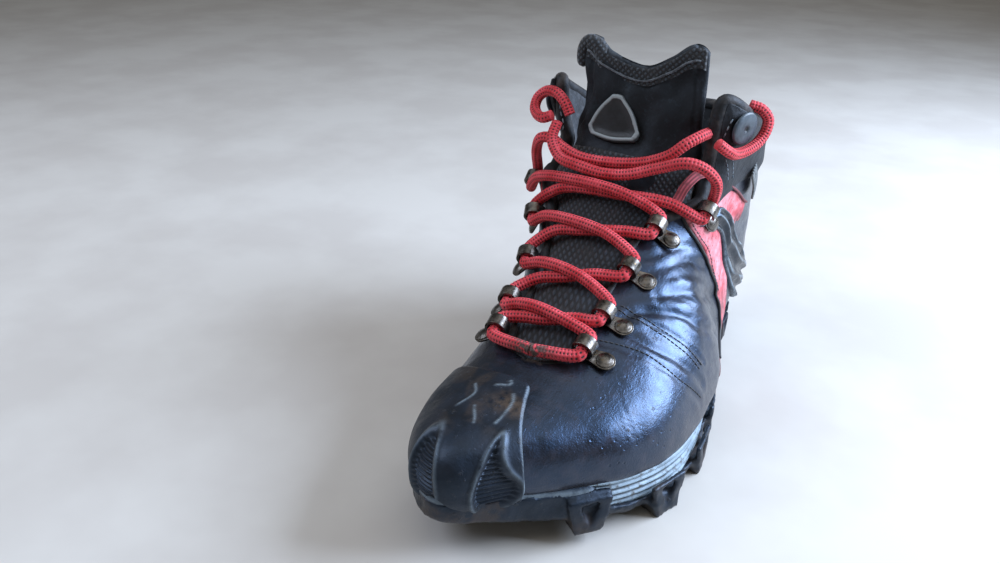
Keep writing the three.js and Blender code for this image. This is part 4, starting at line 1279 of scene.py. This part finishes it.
makeMidsole()
makeRand()
makeToeSkirt()
makeOutsole()
makeFootbed()
print("sole made")

# ---- tongue

tongueRows = [[0.235, 12, -22], [0.297, 17, -31], [0.352, 17, -35], [0.432, 18, -40], [0.54, 22, -50],
              [0.65, 34, -58], [0.75, 34, -57], [0.91, 31, -54], [1.1, 29, -52]]
tongueTop = np.array([[-70, -20], [-54, -4], [-49, 5], [-42, 6], [-33, 0], [-10, -6], [5, 0], [15, 6.6],
                      [22, 6.6], [28, 0], [36, -16]]) + [0, boot["tongue"]]
tongue = dict(start=0.24, meshTop=0.735, topMesh=0.945, across=90, along=260, clear=1.05, thin=3, padding=4.2)


def tongueTopAt(x):
    return smooth(tongueTop, np.clip(x, -70, 36))[:, 0]


def tongueSheet():
    # station and turn over the tongue: across from the inner edge to the outer, up to its wavy top
    k = np.linspace(0, 1, tongue["across"])

    def turnsAt(station):
        station = np.minimum(station, tongueRows[-1][0])
        outer, inner = (turnAt(station, x) for x in smooth(tongueRows, station).T)
        return inner + (outer - inner) * k

    def below(station):
        p = skin(station, turnsAt(station), -boot["collarWall"])
        return p[:, 2] < tongueTopAt(p[:, 0])

    top = halve(len(k), 0.9, 1.19, below)
    stations = [tongue["start"] + (top - tongue["start"]) * v for v in np.linspace(0, 1, tongue["along"])]
    return np.array([np.stack([station, turnsAt(station)], -1) for station in stations])


tongueParams = tongueSheet()


def makeTongue():
    rows, cols = tongueParams.shape[:2]
    k, v = np.meshgrid(np.linspace(0, 1, cols), np.linspace(0, 1, rows))
    station, turn = tongueParams[..., 0].ravel(), tongueParams[..., 1].ravel()
    thick = tongue["thin"] + tongue["padding"] * smoothStep(station, tongue["start"], 1.1)
    edgeAcross = np.clip(1 - np.abs(2 * k - 1) ** 7, 0, 1).ravel() ** 0.5
    edgeTop = np.clip(1 - v**45, 0, 1).ravel() ** 0.5
    round_ = np.minimum(edgeAcross, edgeTop)
    face = -wallAt(station) - tongue["clear"] - 0.5 * thick * (1 - round_)
    back = -wallAt(station) - tongue["clear"] - 0.5 * thick * (1 + round_)
    p = skin(station, turn)
    upper = smoothStep(p[:, 2], 132, 150)
    puff = upper * (1.3 * wander(p, 30, 50) + 0.5 * wander(p, 12, 51))
    groove = bump(np.abs(2 * k.ravel() - 1) - 0.72, 0.05) * smoothStep(p[:, 2], 140, 152)
    front = skin(station, turn, face + puff - 1.1 * groove)
    rear = skin(station, turn, back)
    frontFaces = gridFaces(rows, cols)
    edge = np.minimum((1 - np.abs(2 * k - 1)) * 40, (1 - v) * 150).ravel()
    rearFaces = [(a, d, c, b) for a, b, c, d in frontFaces]
    rim = [r * cols for r in range(rows)] + [(rows - 1) * cols + c for c in range(1, cols)]
    rim += [r * cols + cols - 1 for r in range(rows - 2, -1, -1)] + [c for c in range(cols - 2, 0, -1)]
    both = np.concatenate([front[rim], rear[rim]])
    n = len(rim)
    rimFaces = [(i, (i + 1) % n, n + (i + 1) % n, n + i) for i in range(n)]
    piece = joinMeshes("tongue_padded", [(front, frontFaces, {"edge": edge}), (rear, rearFaces, {"edge": edge}),
                                         (both, rimFaces, {"edge": np.full(2 * n, 0.2)})])
    finishPiece(joinSeam(piece), nubuck, "tongue_nubuck", "tongue")


def onTongue(points, out):
    # [x, z] places on the tongue's face
    target = np.asarray(points, float)
    params = tongueParams.reshape(-1, 2)
    faces = skin(*params.T, -wallAt(params[:, 0]))[:, [0, 2]]
    found = params[[np.argmin(((faces - spot) ** 2).sum(1)) for spot in target]]
    for _ in range(6):
        station, turn = found.T
        here, ahead, aside = (skin(a, b, -wallAt(a))[:, [0, 2]] for a, b in (
            (station, turn), (station + 1e-3, turn), (station, turn + 1e-3)))
        bend = np.stack([(ahead - here) / 1e-3, (aside - here) / 1e-3], -1)
        found = found + np.clip(np.linalg.solve(bend, (target - here)[..., None])[..., 0], -0.02, 0.02)
    return skin(*found.T, out - wallAt(found[:, 0]) - tongue["clear"])


def makeTongueMesh(name, first, last):
    # open mesh laid over the padding, from one row of the tongue to another
    inner = tongueParams[first:last, 5:-5]
    r, c = inner.shape[:2]
    station, turn = inner[..., 0].ravel(), inner[..., 1].ravel()
    k, v = np.meshgrid(np.linspace(-1, 1, c), np.linspace(0, 1, r))
    rise = np.minimum(smoothStep(1 - np.abs(k), 0, 0.05), smoothStep(1 - v, 0, 0.02)).ravel()
    p = skin(station, turn)
    out = -wallAt(station) - tongue["clear"] - 0.3 + (0.9 + 0.5 * wander(p, 26, 55)) * rise
    piece = makeObject(name, skin(station, turn, out), gridFaces(r, c))
    return finishPiece(piece, tongueMesh, "tongue_nubuck")


badge = dict(middle=(-21, 149), size=17, wide=1.1, bulge=2.0, profile=[  # share of the size, height, painted highlight
    (1.0, -0.7, 0), (1.0, 2.8, 0.2), (0.95, 3.2, 0.9), (0.86, 3.2, 0.9), (0.82, 2.65, 0.04), (0.5, 2.7, 0),
    (0.05, 2.75, 0)])


def makeBadge():
    # a plain rounded-triangle patch with a raised rim
    middle, size = np.array(badge["middle"], float), badge["size"]
    corners = [middle + [size * math.sin(a) * (badge["wide"] if a else 1), size * math.cos(a)]
               for a in (0, 2 * pi / 3, 4 * pi / 3)]
    ring = []
    for corner, following in zip(corners, corners[1:] + corners[:1]):
        for t in np.linspace(0.14, 0.86, 10):
            spot = corner + (following - corner) * t
            away = (spot - middle) / np.linalg.norm(spot - middle)
            ring.append(spot + away * badge["bulge"] * math.sin(pi * t))
    ring = curve(ring, 2, closed=True)
    rings = [onTongue(middle + (ring - middle) * share, out) for share, out, _ in badge["profile"]]
    # the painted highlight on the rim, one value a ring
    worn = np.repeat([rimHighlight for *_, rimHighlight in badge["profile"]], len(ring))
    piece = joinMeshes("tongue_patch", [(np.array(rings), ringFaces(len(rings), len(ring)), {"ridge": worn})])
    return finishPiece(piece, patchRubber, "tongue_nubuck")


tonguePiping = dict(inner=-43, outer=20, drop=8, radius=0.6, out=0.9)


def makeTonguePiping():
    # a light welt under the mesh at the top
    x = np.linspace(tonguePiping["inner"], tonguePiping["outer"], 60)
    path = onTongue(np.column_stack([x, tongueTopAt(x) - tonguePiping["drop"]]), tonguePiping["out"])
    return makeTube("tongue_piping", path, tonguePiping["radius"], 8, greyThread, "tongue_nubuck")


tongueRoll = dict(radius=4.3, behind=3.2, sides=24, places=[  # [x, z] along its middle
    (-55, 174), (-53, 183), (-48, 188), (-42, 187.5), (-37, 181), (-36, 174)])


def makeTongueRoll():
    # a soft roll of mesh folded over behind the inner corner
    path = evenly(curve(onTongue(tongueRoll["places"], -tongueRoll["behind"]), 8), 0.8)
    ends = np.clip(1 - np.abs(np.linspace(-1, 1, len(path))) ** 8, 0.02, 1) ** 0.5
    radius = tongueRoll["radius"] * ends + 0.3 * wander(path, 11, 57)
    piece = makeTube("tongue_roll", path, radius, tongueRoll["sides"], tongueMesh, "tongue_nubuck")


makeTongue()
makeTongueRoll()
meshEnds = int(np.argmax(tongueParams[:, tongue["across"] // 2, 0] > tongue["meshTop"]))
makeTongueMesh("tongue_mesh", 0, meshEnds)
makeTongueMesh("tongue_top_mesh", int(tongue["along"] * tongue["topMesh"]), tongue["along"] - 2)
makeBadge()
makeTonguePiping()
print("tongue made")

# ---- lace hardware: x away from the throat, y off the skin, z along the throat

hardwareRows = [(0.297, 14, -29), (0.352, 14, -33), (0.432, 14, -38), (0.54, 16, -48), (0.65, 35, -61)]
studRow = dict(station=0.93, turn=1.3)
hookRow = len(hardwareRows) - 1
loop = dict(inner=3.9, metal=1.5, band=6.5, centre=5.2, plate=1.2, rivetPlace=10.5, plateEnd=5, bevel=0.35,
            base=boot["gap"] + 0.25)
rivetProfile = [(4.2, 1.0), (4.3, 1.4), (4.0, 1.75), (3.4, 1.85), (2.8, 2.15), (1.9, 2.45), (0.9, 2.6),
                (0.1, 2.62)]
studProfile = [(4.0, -0.8), (4.3, 1.8), (7.6, 2.0), (8.9, 2.3), (9.2, 2.9), (8.9, 3.6), (8.0, 4.05),
               (6.0, 4.3),
               (3.0, 4.4), (1.5, 4.35), (1.2, 3.9), (0.1, 3.85)]


def hardwareFrame(station, turn, side, out):
    origin = skin(station, turn, out)[0]
    away = skin(station, turn + side * 0.05, out)[0] - skin(station, turn - side * 0.05, out)[0]
    away /= np.linalg.norm(away)
    up = skin(station + 0.01, turn, out)[0] - skin(station - 0.01, turn, out)[0]
    up -= away * (up @ away)
    up /= np.linalg.norm(up)
    off = np.cross(away, up)
    if off @ (skin(station, turn, out + 2)[0] - origin) < 0:
        off = -off
    return origin, away, up, off


def rowFrame(index, side, out=loop["base"]):
    station, outer, inner = hardwareRows[index]
    return hardwareFrame(station, turnAt(station, outer if side > 0 else inner)[0], side, out)


def placed(points, place):
    origin, away, up, off = place
    return origin + np.asarray(points, float) @ np.array([away, off, up])


def prism(outline, low, high):
    n = len(outline)
    points = [(x, y, z) for z in (low, high) for x, y in outline]
    faces = [(i, (i + 1) % n, n + (i + 1) % n, n + i) for i in range(n)]
    return points, faces + [tuple(range(n))[::-1], tuple(range(n, 2 * n))]


def lathe(profile, sides=28, shift=0.0):
    # the profile turned about y
    around = np.arange(sides) / sides * 2 * pi
    points = [(shift + r * math.cos(a), y, r * math.sin(a)) for r, y in profile for a in around]
    return points, ringFaces(len(profile), sides)


def bandOutline(hooked):
    start, end = 1.22 * pi, (0.12 if hooked else -0.22) * pi
    turn = np.linspace(start, end, 26)
    arc = lambda r: [(r * math.cos(a), loop["centre"] + r * math.sin(a)) for a in turn]
    return ([(4, 0), (-3.6, 0)] + arc(loop["inner"] + loop["metal"]) + arc(loop["inner"])[::-1]
            + [(-2.2, loop["plate"]), (4, loop["plate"])])


def makeEyelet(name, index, side):
    place = rowFrame(index, side)
    half = loop["band"] / 2
    end = [(loop["rivetPlace"] + loop["plateEnd"] * math.cos(a), loop["plateEnd"] * math.sin(a))
           for a in np.linspace(0.6 * pi, -0.6 * pi, 20)]
    points, faces = prism([(2, -half), (2, half)] + end, 0, loop["plate"])
    parts = [prism(bandOutline(index == hookRow), -half, half), ([(x, z, y) for x, y, z in points], faces),
             lathe(rivetProfile, shift=loop["rivetPlace"])]
    piece = joinMeshes(name + "_metal", [(placed(points, place), faces) for points, faces in parts])
    rework(piece, lambda work: bmesh.ops.recalc_face_normals(work, faces=work.faces[:]))
    bevel = piece.modifiers.new("edges", "BEVEL")
    bevel.width, bevel.segments = loop["bevel"] * mm, 2
    bevel.limit_method, bevel.angle_limit = "ANGLE", math.radians(50)
    piece.modifiers.new("shading", "WEIGHTED_NORMAL")
    return finishPiece(piece, metal, "hardware_metal", name)


def makeStud(name, side):
    place = hardwareFrame(studRow["station"], studRow["turn"] * side, side, boot["gap"])
    sides = 40
    points, faces = lathe(studProfile, sides)
    dimple = np.repeat([0] * 9 + [0.2, 1, 1], sides)  # the last rows of the profile lie in it
    piece = joinMeshes(name + "_pad", [(placed(points, place), faces, {"dimple": dimple})])
    return finishPiece(piece, slatePad, "tongue_nubuck", name)


for side, word in ((1, "lateral"), (-1, "medial")):
    for row in range(hookRow):
        makeEyelet(f"eyelet_{word}_{row + 1}", row, side)
    makeEyelet(f"hook_{word}_5", hookRow, side)
    makeStud(f"stud_{word}_6", side)
print("hardware made")

# ---- laces: one braid from the bar up through the loops on each side, and the two loops hanging at the flaps

lace = dict(radius=boot["lace"], sides=22, step=0.55, low=1.2, over=1.8, carriers=4, pitch=3.4, wornReach=11)
slackFromOuter = [(40, 35, 128), (35, 31, 135), (26, 28, 138), (11, 28, 133), (-4, 24, 128), (-17, 21, 127),
                  (-31, 20, 129), (-44, 23, 131), (-51, 27, 139), (-51, 33, 147)]
slackFromInner = [(-65, 37, 128), (-60, 32, 137), (-53, 31, 138), (-45, 28, 135), (-34, 26, 132),
                  (-18, 28, 131),
                  (0, 31, 133), (14, 32, 139), (22, 35, 146), (27, 42, 149), (29, 51, 149)]
loopRoutes = dict(
    lateral=[(37, 40, 147), (41, 44, 143), (43, 50, 140), (45, 57, 139), (48, 64, 140), (51, 70, 143),
             (53, 74, 148),
             (53, 76, 154), (49, 75, 159), (43, 73, 161)],
    medial=[(-55, 34, 150), (-60, 34, 148), (-65, 37, 148), (-69, 41, 151), (-69, 45, 156), (-64, 46, 160),
            (-57, 44, 160), (-51, 42, 156), (-47, 41, 150)])


entering, leaving = (-6, -3, -0.2), (0.2, 3, 6)  # steps along a loop's axis
barMiddle = skin(hardwareRows[0][0] - 0.035, 0, boot["lace"] + 2)[0]


def onAxis(index, side, *steps):
    origin, _, up, off = rowFrame(index, side)
    return [origin + off * loop["centre"] + up * step for step in steps]


def strandPoints(index, side):
    # from one loop across the throat to the next row's loop on the other side
    station, outer, inner = hardwareRows[index]
    nextStation, nextOuter, nextInner = hardwareRows[index + 1]
    start = turnAt(station, outer if side > 0 else inner)[0]
    end = turnAt(nextStation, nextInner if side > 0 else nextOuter)[0]
    level = lace["low"] + (lace["over"] * lace["radius"] if side > 0 else 0)
    points = onAxis(index, side, *leaving)
    for k in (0.25, 0.5, 0.75):
        out = loop["centre"] + (level - loop["centre"]) * math.sin(pi * k) ** 2
        between = station + (nextStation - station) * (0.25 + 0.5 * k)
        points.append(skin(between, start + (end - start) * k, out)[0])
    return points + onAxis(index + 1, -side, *entering)


def laceRoute(side, slack):
    points = [barMiddle] + onAxis(0, side, *entering)
    for index in range(hookRow):
        points += strandPoints(index, side if index % 2 == 0 else -side)
    return points + onAxis(hookRow, side, *leaving) + [np.array(p, float) for p in slack]


def braidTube(path, worn=None):
    # a round braid: crossing strands stand up a little, the seam column doubled so that the pattern closes
    path = evenly(curve(np.array(path), 8), lace["step"])
    sides = lace["sides"]
    gone = np.arange(len(path)) * lace["step"]
    around = np.linspace(0, 2 * pi, sides + 1)
    twist = gone[:, None] * 2 * pi / lace["pitch"]
    weave = np.sin(lace["carriers"] * around + twist) * np.sin(lace["carriers"] * around - twist)
    radius = lace["radius"] * (0.965 + 0.04 * weave)
    n = sides + 1
    faces = gridFaces(len(path), n)
    faces += [tuple(range(sides))[::-1], tuple((len(path) - 1) * n + c for c in range(sides))]
    rub = np.zeros(len(path)) if worn is None else worn(path)
    marks = {"around": np.tile(around * lace["carriers"], len(path)), "along": np.repeat(gone, n),
             "frayed": np.repeat(rub, n)}
    return ringsRound(path, radius, around), faces, marks, path


def barWear(path):
    return np.exp(-(np.linalg.norm(path - barMiddle, axis=1) / lace["wornReach"]) ** 4)


def makeLaceRun():
    sides = ((1, slackFromOuter), (-1, slackFromInner))
    parts = [braidTube(laceRoute(side, slack), barWear)[:3] for side, slack in sides]
    piece = joinMeshes("lace_run", parts)
    return finishPiece(piece, braid, "lace_fabric", "lace_bar_1", *[f"lace_cross_{k}" for k in range(1, 6)])


def makeLaceEnd(word):
    rings, faces, marks, path = braidTube(loopRoutes[word])
    piece = finishPiece(joinMeshes(f"lace_loop_{word}", [(rings, faces, marks)]), braid, "lace_fabric",
                        f"lace_end_{word}")
    length = np.linalg.norm(np.diff(path, axis=0), axis=1).sum()
    return piece


makeLaceRun()
makeLaceEnd("lateral")
makeLaceEnd("medial")
print("laces made")

# ---- stitching

flapSeams = [[(36, 93, 134), (37, 90, 126), (38, 88, 119)], [(38, 88, 134), (39, 85, 126), (40, 83, 119)]]
flapEdge = [[(33, 98, 140), (36, 98, 147), (38, 98, 154), (38, 95, 160)]]
vampSeams = [[(18, 183, 81), (30, 182, 77), (43, 179, 70), (58, 171, 53)],
             [(18, 186, 80), (30, 185, 76), (43, 182, 69), (58, 174, 52)],
             [(17, 206, 73), (35, 200, 69), (54, 193, 56), (62, 180, 40)]]
redSeam = [[(25, 117, 112), (29, 118, 104), (34, 116, 97), (40, 111, 88), (45, 107, 76), (50, 101, 62)]]
bothSides = lambda lines: lines + [mirrored(line) for line in lines]
stitches("flap_seam_stitches", bothSides(flapSeams), lambda q: onShaft(q) + 0.1, lightThread, "tongue_nubuck")
stitches("flap_edge_stitches", bothSides(flapEdge), lambda q: onShaft(q) + 0.15, lightThread, "tongue_nubuck",
         pitch=4, length=2.6, radius=0.42)
stitches("vamp_stitches", bothSides(vampSeams), 0.1, blackThread, "upper_leather", pitch=2.6, length=1.9)
stitches("red_panel_stitches", bothSides(redSeam), 0.8, greyThread, "upper_leather", pitch=2.8, length=1.7)
print("stitching made")

# ---- floor and light

studio = dict(floor="#c4bfb7", floorHalf=3000, world="#e9e6e2", worldStrength=0.22)
softboxes = dict(  # place and target in metres, width, depth, watts, colour
    key=((0.78, 0.44, 0.6), (0.02, 0, 0.08), 0.75, 0.6, 30, "#d3e4ff"),
    left=((-0.7, -0.42, 0.85), (0, -0.03, 0.06), 0.6, 0.5, 6, "#dde8ff"),
    top=((0.1, -0.1, 1.3), (0, 0, 0.05), 1.2, 1.2, 4, "#ffffff"))


def paleFloor():
    # a matt paper sweep, near white and faintly uneven
    material, tree, _, place = begin("paper_backdrop", 0.8)
    paint(tree, place, studio["floor"], [("#cdc9c1", (120,))])
    return material


def makeFloor():
    half = studio["floorHalf"]
    corners = [(-half, -half, 0), (half, -half, 0), (half, half, 0), (-half, half, 0)]
    floor = makeObject("floor", corners, [(0, 1, 2, 3)])
    floor.data.materials.append(paleFloor())


def addSoftbox(name, place, target, width, depth, watts, colour):
    data = bpy.data.lights.new(name, "AREA")
    data.shape, data.size, data.size_y = "RECTANGLE", width, depth
    data.energy, data.color = watts, rgb(colour)[:3]
    lamp = bpy.data.objects.new(name, data)
    bpy.context.scene.collection.objects.link(lamp)
    way = Vector(target) - Vector(place)
    lamp.matrix_world = Matrix.Translation(place) @ way.to_track_quat("-Z", "Y").to_matrix().to_4x4()


makeFloor()
for name, settings in softboxes.items():
    addSoftbox(f"{name}_softbox", *settings)
world = bpy.data.worlds.new("studio")
world.use_nodes = True
background = world.node_tree.nodes["Background"]
background.inputs["Color"].default_value = rgb(studio["world"])
background.inputs["Strength"].default_value = studio["worldStrength"]
bpy.context.scene.world = world
bpy.context.scene.view_settings.view_transform = "Standard"
print("studio set")
